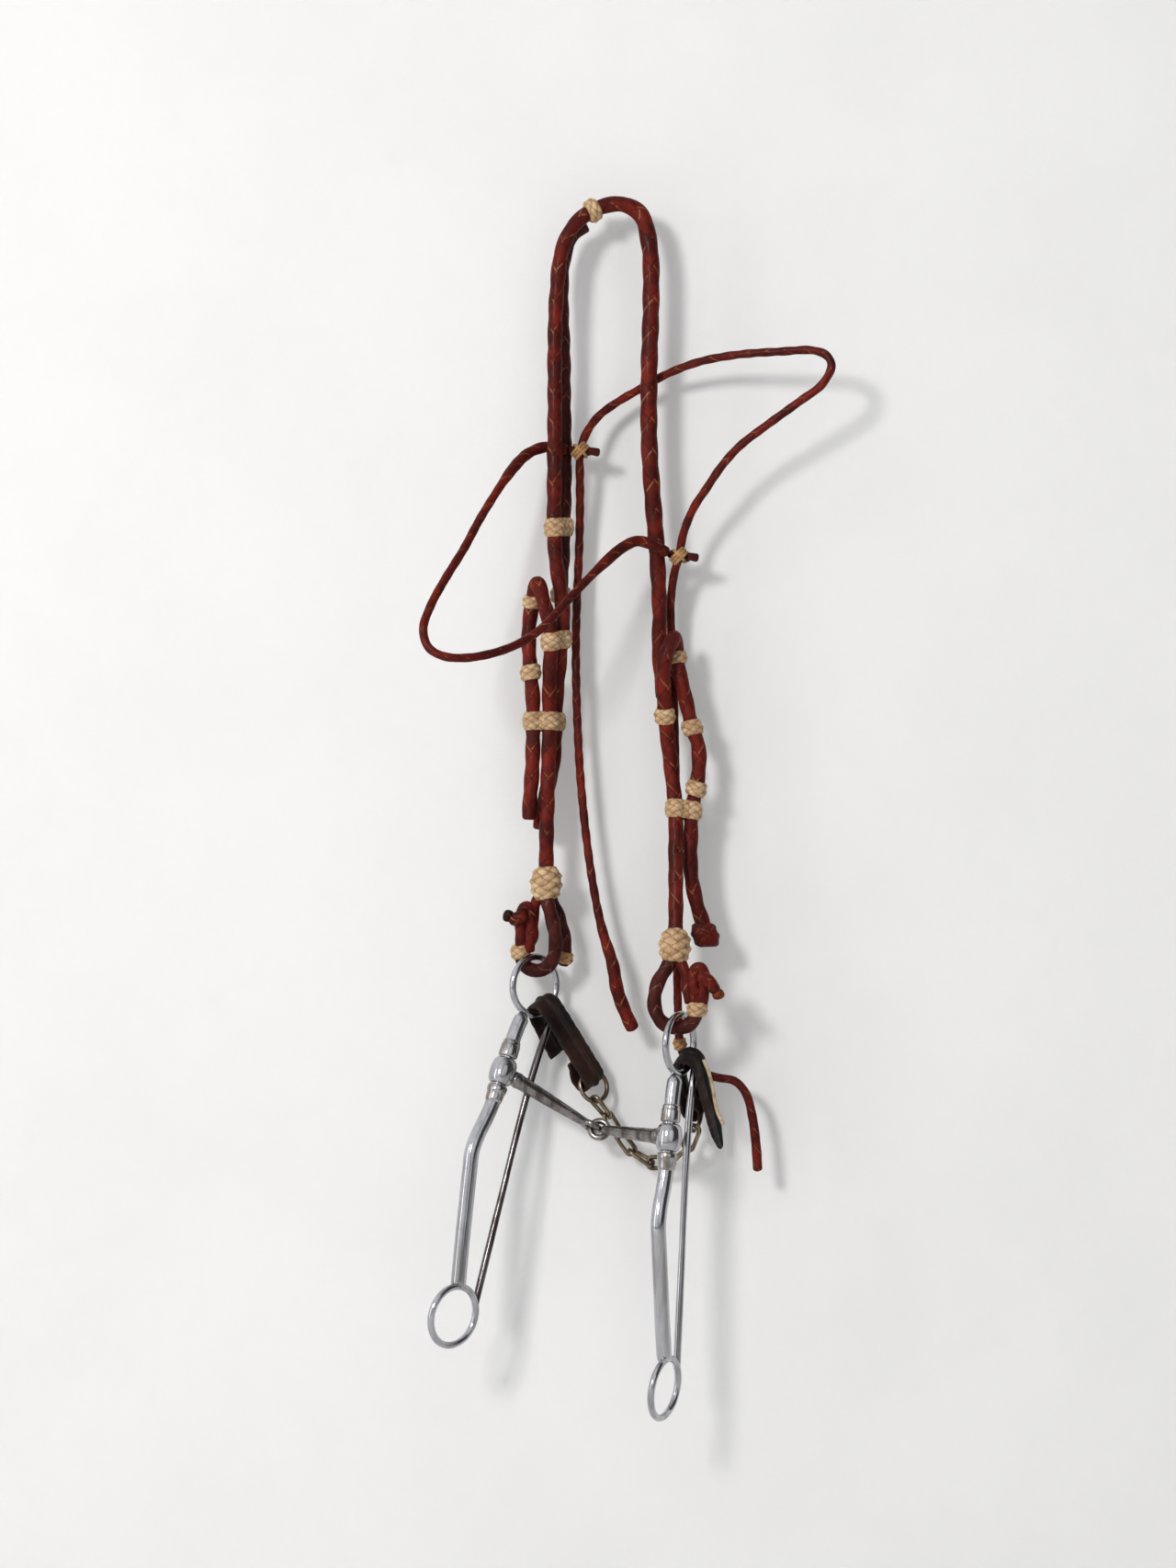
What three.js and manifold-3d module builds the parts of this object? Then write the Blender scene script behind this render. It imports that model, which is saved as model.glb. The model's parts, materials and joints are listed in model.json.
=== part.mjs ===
// A braided leather headstall holding a jointed curb bit, hung up by its crown.
// Millimetres. +X is to the right, +Y away from the front, +Z up.
// The origin is the point under the crown's arch where a nail or hook carries it.
import * as THREE from 'three';
import { ConvexGeometry } from 'three/addons/geometries/ConvexGeometry.js';
import { mergeVertices } from 'three/addons/utils/BufferGeometryUtils.js';
import Module from 'manifold-3d';

const wasm = await Module();
wasm.setup();

// ---------- driving dimensions ----------

const ROPE = 4.2; // radius of the braided crown and cheeks
const LINING = 4.0; // radius of the second crown strand and of the bit loops
const CORD = 2.4; // radius of the browband and the throatlatch
const BUTTON_CORD = 3.2; // radius of the strands that make the bit loop buttons
const LACE = 1.0; // radius of the rawhide lace
const TOUCH = 0.35; // gap left between pieces that touch
const SNUG = 0.65; // gap round a bending strand in a knot that grips it
const SLIDE = 0.7; // gap round the strands in a keeper that slides

const KNOT_WALL = 1.5; // how far a rawhide knot stands out from its strand
const KNOT_HEIGHT = 7.5;
const KEEPER_HEIGHT = 11;
const BUTTON_HEIGHT = 17;
const BUTTON_WALL = 4.4;

const WIRE = 1.9; // radius of the bit's ring wire and guard rod
const CHEEK_RING = 15.8; // middle radius of the headstall ring
const REIN_RING = 16.0; // middle radius of the rein ring
const TUBE = 4.1; // radius of the shank tube and of the stem the bar turns on
const COLLAR = 5.7; // outer radius of the collars above and below the bar
const BARREL = 7.6; // outer radius of the bar's sleeve

const EYE = 4.8; // middle radius of the eyes at the joint of the mouthpiece
const EYE_WIRE = 1.7;

const STRAP_WIDTH = 13;
const STRAP = 2.2; // thickness of the curb strap
const RING_FOLD = 5.2; // inner radius of the strap's fold round the headstall ring
const CURB_FOLD = 3.8; // inner radius of its fold round the curb ring
const CURB_RING = 8.6;
const CURB_WIRE = 1.2;
const LINK_BEND = 3.4; // middle radius of a chain link's round ends
const LINK_WIRE = 1.1;

// ---------- materials ----------

const plain = (color, roughness, metalness = 0) => (
  new THREE.MeshStandardMaterial({ color, roughness, metalness })
);
const leather = () => plain(0x6e2b22, 0.55);
const rawhide = () => plain(0xc8a573, 0.7);
const strapLeather = () => plain(0x2b1a15, 0.6);
const steel = () => plain(0x9a9a98, 0.3, 1);
const chainSteel = () => plain(0x8c7a5e, 0.4, 1);

// ---------- shape helpers ----------

const model = new THREE.Group();
const vec = (p) => new THREE.Vector3(...p);

function add(name, geometry, material, group = model) {
  const mesh = new THREE.Mesh(geometry, material);
  mesh.name = name;
  group.add(mesh);
  return mesh;
}

// A manifold solid from a closed three.js geometry, and back again.
function toSolid(geometry) {
  const bare = geometry.clone();
  bare.deleteAttribute('normal');
  bare.deleteAttribute('uv');
  const merged = mergeVertices(bare, 1e-3);
  return new wasm.Manifold(new wasm.Mesh({
    numProp: 3,
    vertProperties: new Float32Array(merged.attributes.position.array),
    triVerts: new Uint32Array(merged.index.array),
  }));
}

function toGeometry(solid) {
  const mesh = solid.getMesh();
  const geometry = new THREE.BufferGeometry();
  geometry.setAttribute('position', new THREE.BufferAttribute(mesh.vertProperties, 3));
  geometry.setIndex(new THREE.BufferAttribute(mesh.triVerts, 1));
  geometry.computeVertexNormals();
  return geometry;
}

const curve = (points) => new THREE.CatmullRomCurve3(points.map(vec), false, 'centripetal');

function circle(radius, sides) {
  const points = [];
  for (let i = 0; i < sides; i += 1) {
    const angle = (2 * Math.PI * i) / sides;
    points.push(new THREE.Vector2(radius * Math.cos(angle), radius * Math.sin(angle)));
  }
  return points;
}

// A round strand along a curve, with a step every few diameters.
function strand(path, radius, sides, diametersPerStep) {
  const steps = Math.ceil(path.getLength() / (2 * radius * diametersPerStep));
  const section = new THREE.Shape(circle(radius, sides));
  return new THREE.ExtrudeGeometry(section, { steps, extrudePath: path });
}

// A ring of round wire whose axis is Y.
function ring(middle, wire, around = 20, section = 8) {
  const profile = circle(wire, section).map((p) => new THREE.Vector2(middle + p.x, p.y));
  return new THREE.LatheGeometry([...profile, profile[0].clone()], around);
}

// Where a curve is at a height: the first crossing from its start, or the last.
function atHeight(path, z, last = false) {
  const samples = 600;
  for (let i = 0; i < samples; i += 1) {
    const near = last ? 1 - i / samples : i / samples;
    const far = last ? near - 1 / samples : near + 1 / samples;
    const a = path.getPointAt(near);
    const b = path.getPointAt(far);
    if ((a.z - z) * (b.z - z) <= 0) {
      const point = a.lerp(b, (z - a.z) / (b.z - a.z || 1));
      return { point, along: path.getTangentAt(near) };
    }
  }
  throw new Error(`no point at height ${z}`);
}

// A geometry made about the Y axis, turned so that its axis runs along a direction.
function aimed(geometry, point, along) {
  const turn = new THREE.Quaternion().setFromUnitVectors(new THREE.Vector3(0, 1, 0), along);
  return geometry.clone().applyQuaternion(turn).translate(point.x, point.y, point.z);
}

// Rawhide braided round one or more strands: a bulging hull less the strands' room.
function wrap(strands, height, wall, gap) {
  const sides = 10;
  const toFlats = 1 / Math.cos(Math.PI / sides); // so that the gap holds on the flats too
  const points = [];
  for (const { place, radius } of strands) {
    for (const [level, swell] of [[-0.5, 0.35], [-0.25, 0.9], [0.25, 0.9], [0.5, 0.35]]) {
      const outer = (radius + gap) * toFlats + wall * swell;
      const round = new THREE.BufferGeometry().setFromPoints(
        circle(outer, sides).map((p) => new THREE.Vector3(p.x, level * height, p.y)),
      );
      const turned = aimed(round, place.point, place.along).attributes.position;
      for (let i = 0; i < turned.count; i += 1) {
        points.push(new THREE.Vector3().fromBufferAttribute(turned, i));
      }
    }
  }
  let body = toSolid(new ConvexGeometry(points));
  for (const { place, radius } of strands) {
    const room = (radius + gap) * toFlats;
    const bore = new THREE.CylinderGeometry(room, room, height * 2, sides);
    body = body.subtract(toSolid(aimed(bore, place.point, place.along)));
  }
  return toGeometry(body);
}

const knot = (path, radius, z, last = false, height = KNOT_HEIGHT) => (
  wrap([{ place: atHeight(path, z, last), radius }], height, KNOT_WALL, SNUG)
);

// ---------- headstall: the strands ----------

const crown = curve([
  [-36.5, 7, -333.5], [-34, 7.5, -318], [-29.5, 7.5, -300], [-26.5, 6.5, -285],
  [-25.8, 5.5, -274.5], [-25.5, 5, -262], [-25, 3, -245], [-24.5, 0.5, -231],
  [-23.5, -1, -218], [-25, -2.5, -203], [-27.5, -3.5, -186], [-28.3, -4, -169],
  [-28.3, -4.5, -150], [-28.2, -5, -126], [-28, -4, -100], [-28, -3.5, -70],
  [-27, -3, -42], [-24, -1.5, -18], [-17, -0.5, -4], [-6, 0, 4.2], [8, 0, 7],
  [18.5, 0, 1.5], [23.5, 0, -16], [24.3, 0, -45], [23.3, 0, -82], [23.3, 0, -122],
  [25, 0.5, -150], [26.8, 1, -172], [28, 1, -192], [29, 2, -215],
  [28, 3.5, -235], [27.8, 4.5, -250], [28.5, 5, -262],
]);
const crownLining = curve([
  [-8.5, 7, -4], [-15, 7.5, -11], [-19.5, 7, -24], [-21.3, 6, -45], [-21.5, 6, -75],
  [-21.8, 8.5, -100], [-22.6, 10.6, -126], [-22.8, 7.5, -150], [-23.2, 4.8, -169],
  [-23.8, 5.5, -186], [-25, 9, -203], [-25.3, 10, -210],
]);
const leftCheek = curve([
  [-42, -1, -328], [-41.5, -1, -317], [-40.2, -1, -297], [-39.9, -1, -274.5],
  [-40, -1, -262], [-41.2, -0.5, -248], [-42.3, 0.5, -227], [-40.5, 2, -211],
  [-37.5, -3, -199.5], [-34, -9, -210], [-31, -9, -221], [-30, -7.5, -231],
  [-30.5, -5, -243], [-31, -3, -258], [-31, -2, -274.5], [-31.5, -2, -297],
  [-32.5, -2, -332], [-32.8, -1, -363],
]);
const rightCheek = curve([
  [53.5, -3, -389], [51.8, -2.5, -382], [49.5, -2, -375], [46, -1.5, -357],
  [46, -1, -332], [46.5, -1, -322.5], [48.8, -1, -311], [50.3, -1, -300],
  [50, -1, -288], [46.5, -0.5, -277], [42.5, 0, -259.5], [39.5, 0.5, -247],
  [38.3, 1, -238], [37, -3.5, -229], [33, -9, -236.5], [31, -8.5, -247],
  [31.3, -5, -262], [31.8, -3.5, -272], [34.5, -2, -294], [37.5, -4, -322.5],
  [37.5, -8.5, -347], [37.4, -15, -380], [36.8, -18.5, -397],
]);
const browband = curve([
  [-20.9, 2.8, -126.3], [-26, 2.5, -125.8], [-33, 2, -125], [-41, -2, -128],
  [-49.7, -14, -137], [-66.5, -34, -164.5], [-76, -46, -183.5], [-85.5, -56, -200],
  [-93, -65, -215], [-96.5, -71, -227.5], [-93.5, -74, -237], [-86, -76, -241.5],
  [-75, -75, -242.5], [-60.5, -70, -240], [-46.5, -62, -234.5], [-34.5, -53, -226],
  [-24.5, -45, -215], [-12.5, -34, -201.5], [-1.5, -24, -190], [8.5, -16, -181],
  [16.5, -10, -177], [22.5, -8, -178], [28.5, -6.5, -180.8], [33.6, -4.4, -183.2],
]);
const throatlatch = curve([
  [15, 4, -443], [11, 4, -434.5], [6, 4, -421], [3.5, 4, -407], [-2.5, 5, -387],
  [-7.5, 6, -362], [-11, 7, -337], [-14, 8, -307], [-15.5, 8.5, -282],
  [-16.5, 9, -252], [-16.6, 11, -227], [-15.8, 12, -202], [-14.8, 11.8, -177],
  [-14.4, 9.5, -157], [-14.4, 6.2, -141], [-14.2, 3.4, -127], [-11, 4, -117.5],
  [-4.5, 7, -108], [5, 9, -100.5], [19.5, 9.5, -92], [32.5, 7, -85], [50, 0, -79],
  [70, -8, -76], [94, -15, -75], [111.5, -20, -75], [118.5, -22, -78],
  [121, -23, -83.5], [116, -23, -93.5], [104, -21, -102.5], [86.5, -18, -115],
  [72, -15, -126], [62, -12, -137], [54.5, -9, -148], [47.5, -6, -158.5],
  [42, -2, -172], [39.5, 0.5, -184.5], [36.8, 4, -195], [35.2, 7.5, -209.5],
  [35.5, 10, -224.5], [36.5, 10.5, -239.5], [37, 10.5, -262], [37.5, 10, -282],
  [38, 9.5, -307], [38.5, 8.5, -330], [38.5, 5, -357], [38.5, 0, -387],
  [38.5, -5, -412], [39, -6, -434.5], [40.5, -3.5, -452], [46, 4.5, -461],
  [52.5, 6.5, -466], [60, 5, -468.5], [70, 4, -470.5], [76, 3, -477],
  [79.5, 2, -489.5], [81.5, 2, -504.5], [82.5, 2, -519.5],
]);

// Steps along the strands, in diameters: short ones where a strand bends tightly.
const LOOP_STEP = 1;
const CHEEK_STEP = 1.25;
const CROWN_STEP = 2;
const FREE_STEP = 3;
const SIDES = 8;

add('crown_rope', strand(crown, ROPE, SIDES, CROWN_STEP), leather());
add('crown_lining_strand', strand(crownLining, LINING, SIDES, CROWN_STEP), leather());
add('left_cheek_rope', strand(leftCheek, ROPE, SIDES, CHEEK_STEP), leather());
add('right_cheek_rope', strand(rightCheek, ROPE, SIDES, CHEEK_STEP), leather());
add('browband', strand(browband, CORD, SIDES, FREE_STEP), leather());
add('throatlatch', strand(throatlatch, CORD, SIDES, FREE_STEP), leather());

// ---------- headstall: rawhide knots and keepers ----------

const top = atHeight(crown, 3.5);
const single = (place, radius) => [{ place, radius }];
add('crown_top_knot', wrap(single(top, ROPE), 8, 2.2, SNUG + 0.3), rawhide());
add('crown_end_knot', knot(crownLining, LINING, -205), rawhide());
add('left_bight_knot', knot(leftCheek, ROPE, -209, false, 6), rawhide());
add('left_tail_knot', knot(leftCheek, ROPE, -248), rawhide());
add('right_bight_knot', knot(rightCheek, ROPE, -240, false, 6), rawhide());
add('right_upper_tail_knot', knot(rightCheek, ROPE, -278), rawhide());
add('right_lower_tail_knot', knot(rightCheek, ROPE, -311), rawhide());
add('right_cheek_knot', knot(rightCheek, ROPE, -271.5, true), rawhide());

const KEEPERS = [
  ['crown_keeper', -169, [[crown, ROPE, false], [crownLining, LINING, false]]],
  ['left_upper_keeper', -230.5, [[leftCheek, ROPE, true], [crown, ROPE, false]]],
  ['left_wide_keeper', -274.5,
    [[leftCheek, ROPE, false], [leftCheek, ROPE, true], [crown, ROPE, false]]],
  ['right_wide_keeper', -322.5, [[rightCheek, ROPE, false], [rightCheek, ROPE, true]]],
];
for (const [name, z, held] of KEEPERS) {
  const strands = held.map(([path, radius, last]) => ({ place: atHeight(path, z, last), radius }));
  strands.forEach(({ place }) => {
    if (place.along.z < 0) place.along.negate();
  });
  add(name, wrap(strands, KEEPER_HEIGHT, KNOT_WALL, SLIDE), rawhide());
}

const BUTTONS = [
  ['left_button_knot', leftCheek, -362.5],
  ['right_button_knot', rightCheek, -396],
];
for (const [name, path, z] of BUTTONS) {
  const place = atHeight(path, z, true);
  add(name, wrap([{ place, radius: ROPE }], BUTTON_HEIGHT, BUTTON_WALL, SNUG), rawhide());
}

const stopper = { point: vec([53.7, -3, -390.5]), along: vec([0.3, 0, -1]).normalize() };
add('right_stopper_knot', wrap(single(stopper, ROPE), 11, 2.4, SNUG), leather());

// The browband's two eyes round the throatlatch, each closed by a rawhide bead.
const BROW_EYE = 4.9;
const BROW_EYE_CORD = 1.5;
const BEAD = 2.7;
const EYE_HEIGHTS = { left: -127, right: -184.5 };
for (const [side, height] of Object.entries(EYE_HEIGHTS)) {
  const place = atHeight(throatlatch, height, side === 'right');
  const eye = aimed(ring(BROW_EYE, BROW_EYE_CORD, 16, 6), place.point, place.along);
  add(`browband_${side}_eye`, eye, leather());
  const bead = new THREE.SphereGeometry(BEAD, 12, 8);
  const reach = BROW_EYE + BROW_EYE_CORD + BEAD + TOUCH;
  bead.translate(place.point.x + reach, place.point.y, place.point.z);
  add(`browband_${side}_knot`, bead, rawhide());
}

// ---------- headstall: the loops that carry the bit ----------

const LOOPS = {
  left: {
    loop: [
      [-32, -3, -372.2], [-29, -3, -384], [-27.5, -2, -396], [-29.5, 0, -404.5],
      [-33.5, 2.5, -409], [-38.5, 4.5, -410.2], [-43.5, 7, -408.5], [-46.4, 8.8, -403],
      [-46.8, 9, -399.4],
    ],
    leg: [[-38, 2.5, -372.2], [-39.5, 4, -378], [-40, 5, -386], [-40, 6, -391]],
    button: [
      [-46.8, 9, -398.4], [-47.6, 8, -390], [-47.6, 5, -380.5], [-49.5, 0.5, -375],
      [-52.5, -3, -376.5], [-54, -4.5, -383.5],
    ],
    knotHeight: -399.8,
  },
  right: {
    loop: [
      [33, -20, -406.6], [27.5, -20.5, -416], [25.8, -21, -428], [29.2, -21.5, -436],
      [34.5, -22, -439.2], [39.4, -22.4, -439.6], [44.5, -23.2, -437.8], [48, -23.8, -433],
      [48.8, -24, -428.8],
    ],
    leg: [[41, -19.5, -406.6], [43, -20.5, -412], [43.2, -21, -418.5]],
    button: [
      [48.8, -24, -428.2], [49.8, -24, -419], [50.4, -23.2, -411], [54, -24, -405.8],
      [58.8, -25.2, -409], [60.5, -26, -418],
    ],
    knotHeight: -429.6,
  },
};
for (const [side, { loop, leg, button, knotHeight }] of Object.entries(LOOPS)) {
  const loopPath = curve(loop);
  add(`${side}_bit_loop`, strand(loopPath, LINING, SIDES, LOOP_STEP), leather());
  add(`${side}_loop_leg`, strand(curve(leg), BUTTON_CORD, SIDES, LOOP_STEP), leather());
  add(`${side}_loop_button`, strand(curve(button), BUTTON_CORD, SIDES, LOOP_STEP), leather());
  add(`${side}_loop_knot`, knot(loopPath, LINING, knotHeight, true, 7), rawhide());
}
const backStrand = curve([
  [-29.5, 4.8, -371.6], [-25, 7.5, -382], [-21.8, 9, -397], [-23.5, 9.5, -408],
]);
add('left_loop_back_strand', strand(backStrand, BUTTON_CORD, SIDES, LOOP_STEP), leather());

// ---------- bit: the two shanks ----------

// Each shank is a flat frame. Its own x runs from the tube towards the guard rod and
// its z up the stem, with the middle of the bar's sleeve at its origin.
const SHANKS = {
  left: { at: [-56.2, -11, -464.1], yaw: 42, tilt: 23.5 },
  right: { at: [33.3, -33, -497.8], yaw: 60, tilt: 10.5 },
};
const RING_AT = [3, 51];
const REIN_AT = [19.5, -132];
const TUBE_ROUTE = [
  [1.6, 32.7], [0.4, 26], [0, 18], [0, 6], [0, -8], [0, -19], [-1.2, -28], [-3, -38],
  [-3.2, -47], [-0.4, -58], [4.6, -76], [10.2, -96], [15.7, -113.2],
];
const ROD_ROUTE = [
  [30.8, -115.9], [28.4, -88], [25.9, -60], [23.3, -32], [21.4, -6], [20.6, 16],
  [21, 32], [22, 43.5],
];
const UPPER_COLLAR = { middle: 13.2, height: 9.4 };
const LOWER_COLLAR = { middle: -11.6, height: 7 };

const inPlane = (route) => curve(route.map(([x, z]) => [x, 0, z]));

// A collar round the stem with its edges eased.
function collar({ middle, height }) {
  const [inner, half, ease] = [TUBE + TOUCH, height / 2, 0.8];
  const profile = [
    [inner, -half], [COLLAR - ease, -half], [COLLAR, -half + ease], [COLLAR, half - ease],
    [COLLAR - ease, half], [inner, half], [inner, -half],
  ];
  const geometry = new THREE.LatheGeometry(profile.map((p) => new THREE.Vector2(...p)), 12);
  return geometry.rotateX(Math.PI / 2).translate(0, 0, middle);
}

for (const [side, { at, yaw, tilt }] of Object.entries(SHANKS)) {
  const shank = new THREE.Group();
  shank.position.set(...at);
  shank.rotation.set(0, THREE.MathUtils.degToRad(tilt), THREE.MathUtils.degToRad(yaw), 'ZYX');
  model.add(shank);
  const cheekRing = ring(CHEEK_RING, WIRE).translate(RING_AT[0], 0, RING_AT[1]);
  const reinRing = ring(REIN_RING, WIRE).translate(REIN_AT[0], 0, REIN_AT[1]);
  add(`${side}_cheek_ring`, cheekRing, steel(), shank);
  add(`${side}_rein_ring`, reinRing, steel(), shank);
  add(`${side}_shank_tube`, strand(inPlane(TUBE_ROUTE), TUBE, 10, 1.1), steel(), shank);
  add(`${side}_guard_rod`, strand(inPlane(ROD_ROUTE), WIRE, 8, 3), steel(), shank);
  add(`${side}_upper_collar`, collar(UPPER_COLLAR), steel(), shank);
  add(`${side}_lower_collar`, collar(LOWER_COLLAR), steel(), shank);
}
model.updateMatrixWorld(true);

// A point of a shank's frame in the object's frame, and one of its directions.
function shankMatrix(side) {
  const { at, yaw, tilt } = SHANKS[side];
  const turn = new THREE.Euler(
    0, THREE.MathUtils.degToRad(tilt), THREE.MathUtils.degToRad(yaw), 'ZYX',
  );
  return new THREE.Matrix4().makeRotationFromEuler(turn).setPosition(...at);
}
const shankPoint = (side, x, z) => new THREE.Vector3(x, 0, z).applyMatrix4(shankMatrix(side));
const stemAxis = (side) => new THREE.Vector3(0, 0, 1).transformDirection(shankMatrix(side));

// ---------- bit: the jointed mouthpiece ----------

const JOINT = vec([-6, 7, -496.2]);
const BAR_AT_SLEEVE = 4.3; // radius of the bar beside the sleeve
const BAR_AT_EYE = 2.8;
const SLEEVE_BOTTOM = -7.7;
const SLEEVE_TOP = 8.1;

const towards = {
  left: vec(SHANKS.left.at).sub(JOINT).normalize(),
  right: vec(SHANKS.right.at).sub(JOINT).normalize(),
};
// The eyes lock when each one's wire passes through the middle of the other.
const across = towards.right.clone().sub(towards.left).normalize();
const leftEyeAxis = new THREE.Vector3().crossVectors(across, towards.left).normalize();
const eyeAxis = {
  left: leftEyeAxis,
  right: new THREE.Vector3().crossVectors(across, leftEyeAxis).normalize(),
};
const EYE_SHARE = { left: -0.5, right: 0.5 };

for (const side of ['left', 'right']) {
  const sleeveProfile = [
    [0, SLEEVE_BOTTOM], [5.8, SLEEVE_BOTTOM], [7.2, -5], [BARREL, 0], [7.2, 5],
    [5.8, SLEEVE_TOP], [0, SLEEVE_TOP],
  ];
  const sleeve = new THREE.LatheGeometry(
    sleeveProfile.map((p) => new THREE.Vector2(...p)), 14,
  );
  const at = vec(SHANKS[side].at);
  const eyeAt = JOINT.clone().addScaledVector(across, EYE_SHARE[side] * EYE);
  const run = at.clone().sub(eyeAt);
  const barDirection = run.clone().normalize();
  const start = eyeAt.clone().addScaledVector(barDirection, EYE);
  const bar = new THREE.CylinderGeometry(
    BAR_AT_SLEEVE, BAR_AT_EYE, run.length() - EYE, 10,
  );
  const barMiddle = start.clone().add(at).multiplyScalar(0.5);
  const bore = new THREE.CylinderGeometry(TUBE + TOUCH, TUBE + TOUCH, 40, 12);
  const half = toSolid(aimed(sleeve, at, stemAxis(side)))
    .add(toSolid(aimed(bar, barMiddle, barDirection)))
    .add(toSolid(aimed(ring(EYE, EYE_WIRE, 16, 6), eyeAt, eyeAxis[side])))
    .subtract(toSolid(aimed(bore, at, stemAxis(side))));
  add(`mouthpiece_${side}`, toGeometry(half), steel());
}

// ---------- curb strap and chain ----------

// A leather strap folded round the headstall ring at one end and round the curb ring
// at the other. Its own a runs along it, b out of its face and c across it.
const RING_ANGLE = THREE.MathUtils.degToRad(-38); // where the strap sits on the ring
const STRAPS = {
  left: { along: [27, 4, -42.2], foldAt: 43.2, face: 1, tail: [[25, -10], [12, -8.6]] },
  right: { along: [3, 15, -21], foldAt: 30, face: -1, tail: [[48, -12], [30, -9.6], [14, -7.4]] },
};

function strapFrame(side) {
  const onRing = [
    RING_AT[0] + CHEEK_RING * Math.cos(RING_ANGLE),
    RING_AT[1] + CHEEK_RING * Math.sin(RING_ANGLE),
  ];
  const origin = shankPoint(side, ...onRing);
  const along = vec(STRAPS[side].along).normalize();
  const wire = new THREE.Vector3(-Math.sin(RING_ANGLE), 0, Math.cos(RING_ANGLE))
    .transformDirection(shankMatrix(side));
  const width = wire.addScaledVector(along, -wire.dot(along)).normalize();
  const face = new THREE.Vector3().crossVectors(along, width);
  return { origin, along, width, face };
}

function arc(centreA, radius, from, to, count) {
  const points = [];
  for (let i = 0; i <= count; i += 1) {
    const angle = THREE.MathUtils.degToRad(from + ((to - from) * i) / count);
    points.push([centreA + radius * Math.cos(angle), radius * Math.sin(angle)]);
  }
  return points;
}

function ribbon(route, thickness, width) {
  const path = new THREE.SplineCurve(route.map((p) => new THREE.Vector2(...p)));
  const count = 32;
  const [outer, inner] = [[], []];
  for (let i = 0; i <= count; i += 1) {
    const point = path.getPointAt(i / count);
    const tangent = path.getTangentAt(i / count);
    const offset = new THREE.Vector2(-tangent.y, tangent.x).multiplyScalar(thickness / 2);
    outer.push(point.clone().add(offset));
    inner.unshift(point.clone().sub(offset));
  }
  const shape = new THREE.Shape([...outer, ...inner]);
  const geometry = new THREE.ExtrudeGeometry(shape, { depth: width, bevelEnabled: false });
  return geometry.translate(0, 0, -width / 2);
}

const lowest = {}; // the lowest point of each curb ring
const ringRun = {}; // which way its wire runs there
for (const side of ['left', 'right']) {
  const { foldAt, face, tail } = STRAPS[side];
  const frame = strapFrame(side);
  const ringFold = RING_FOLD + STRAP / 2;
  const curbFold = CURB_FOLD + STRAP / 2;
  const route = [
    ...tail, ...arc(0, ringFold, -90, -270, 8), [foldAt * 0.35, ringFold - 0.2],
    [foldAt * 0.7, curbFold + 0.6], ...arc(foldAt, curbFold, 90, -90, 6),
    [foldAt - 7, -curbFold + 0.4],
  ].map(([a, b]) => [a, b * face]);
  const geometry = ribbon(route, STRAP, STRAP_WIDTH);
  const basis = new THREE.Matrix4()
    .makeBasis(frame.along, frame.face, frame.width.clone())
    .setPosition(frame.origin);
  if (basis.determinant() < 0) {
    basis.makeBasis(frame.along, frame.face, frame.width.clone().negate())
      .setPosition(frame.origin);
  }
  add(`${side}_curb_strap`, geometry.applyMatrix4(basis), strapLeather());

  // The curb ring lies in the plane of the strap's length and width.
  const hang = foldAt - CURB_FOLD + CURB_WIRE + 0.3 + CURB_RING;
  const middle = frame.origin.clone().addScaledVector(frame.along, hang);
  ringRun[side] = new THREE.Vector3(0, 0, 1).cross(frame.face).normalize();
  const down = new THREE.Vector3().crossVectors(frame.face, ringRun[side]);
  if (down.z > 0) down.negate();
  lowest[side] = middle.clone().addScaledVector(down.normalize(), CURB_RING);
  add(`${side}_curb_ring`, aimed(ring(CURB_RING, CURB_WIRE, 16, 6), middle, frame.face),
    chainSteel());
}

const laceRoute = curve([
  [52.5, -16, -457.5], [55.5, -12, -465], [57.5, -8, -473], [58.8, -5, -480],
  [60.5, -3.5, -487], [63.5, -3, -493.5],
]);
add('curb_lace', strand(laceRoute, LACE, 8, 2.5), rawhide());

// The chain's middle line, from just under one curb ring to just under the other. Its
// end links reach past the rings' wire by the same room that the links have at each other.
const LINKS = 7;
const CROSSING = 3.3; // how far one link's end reaches past the next one's
const CHAIN_BENDS = [
  [1.2, 13.4, -491], [7.4, 14, -501], [14.6, 13.2, -510.2], [24.8, 11.6, -516],
  [35, 10.2, -515.4], [43, 10, -509.6],
];
function past(point, next) {
  return point.clone().addScaledVector(point.clone().sub(next).normalize(), CROSSING / 2);
}
const chainPath = curve([
  past(lowest.left, vec(CHAIN_BENDS[0])).toArray(), ...CHAIN_BENDS,
  past(lowest.right, vec(CHAIN_BENDS.at(-1))).toArray(),
]);
const chainNodes = chainPath.getSpacedPoints(LINKS);
const linkPitch = chainPath.getLength() / LINKS;

// One link: a ring drawn out along X, its wire thick all round alike.
function link() {
  const geometry = ring(LINK_BEND, LINK_WIRE, 12, 6).rotateY(Math.PI / 12);
  const straight = linkPitch + CROSSING - 2 * LINK_BEND;
  const position = geometry.attributes.position;
  for (let i = 0; i < position.count; i += 1) {
    const x = position.getX(i);
    position.setX(i, x + (Math.sign(x) * straight) / 2);
  }
  return geometry;
}

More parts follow.
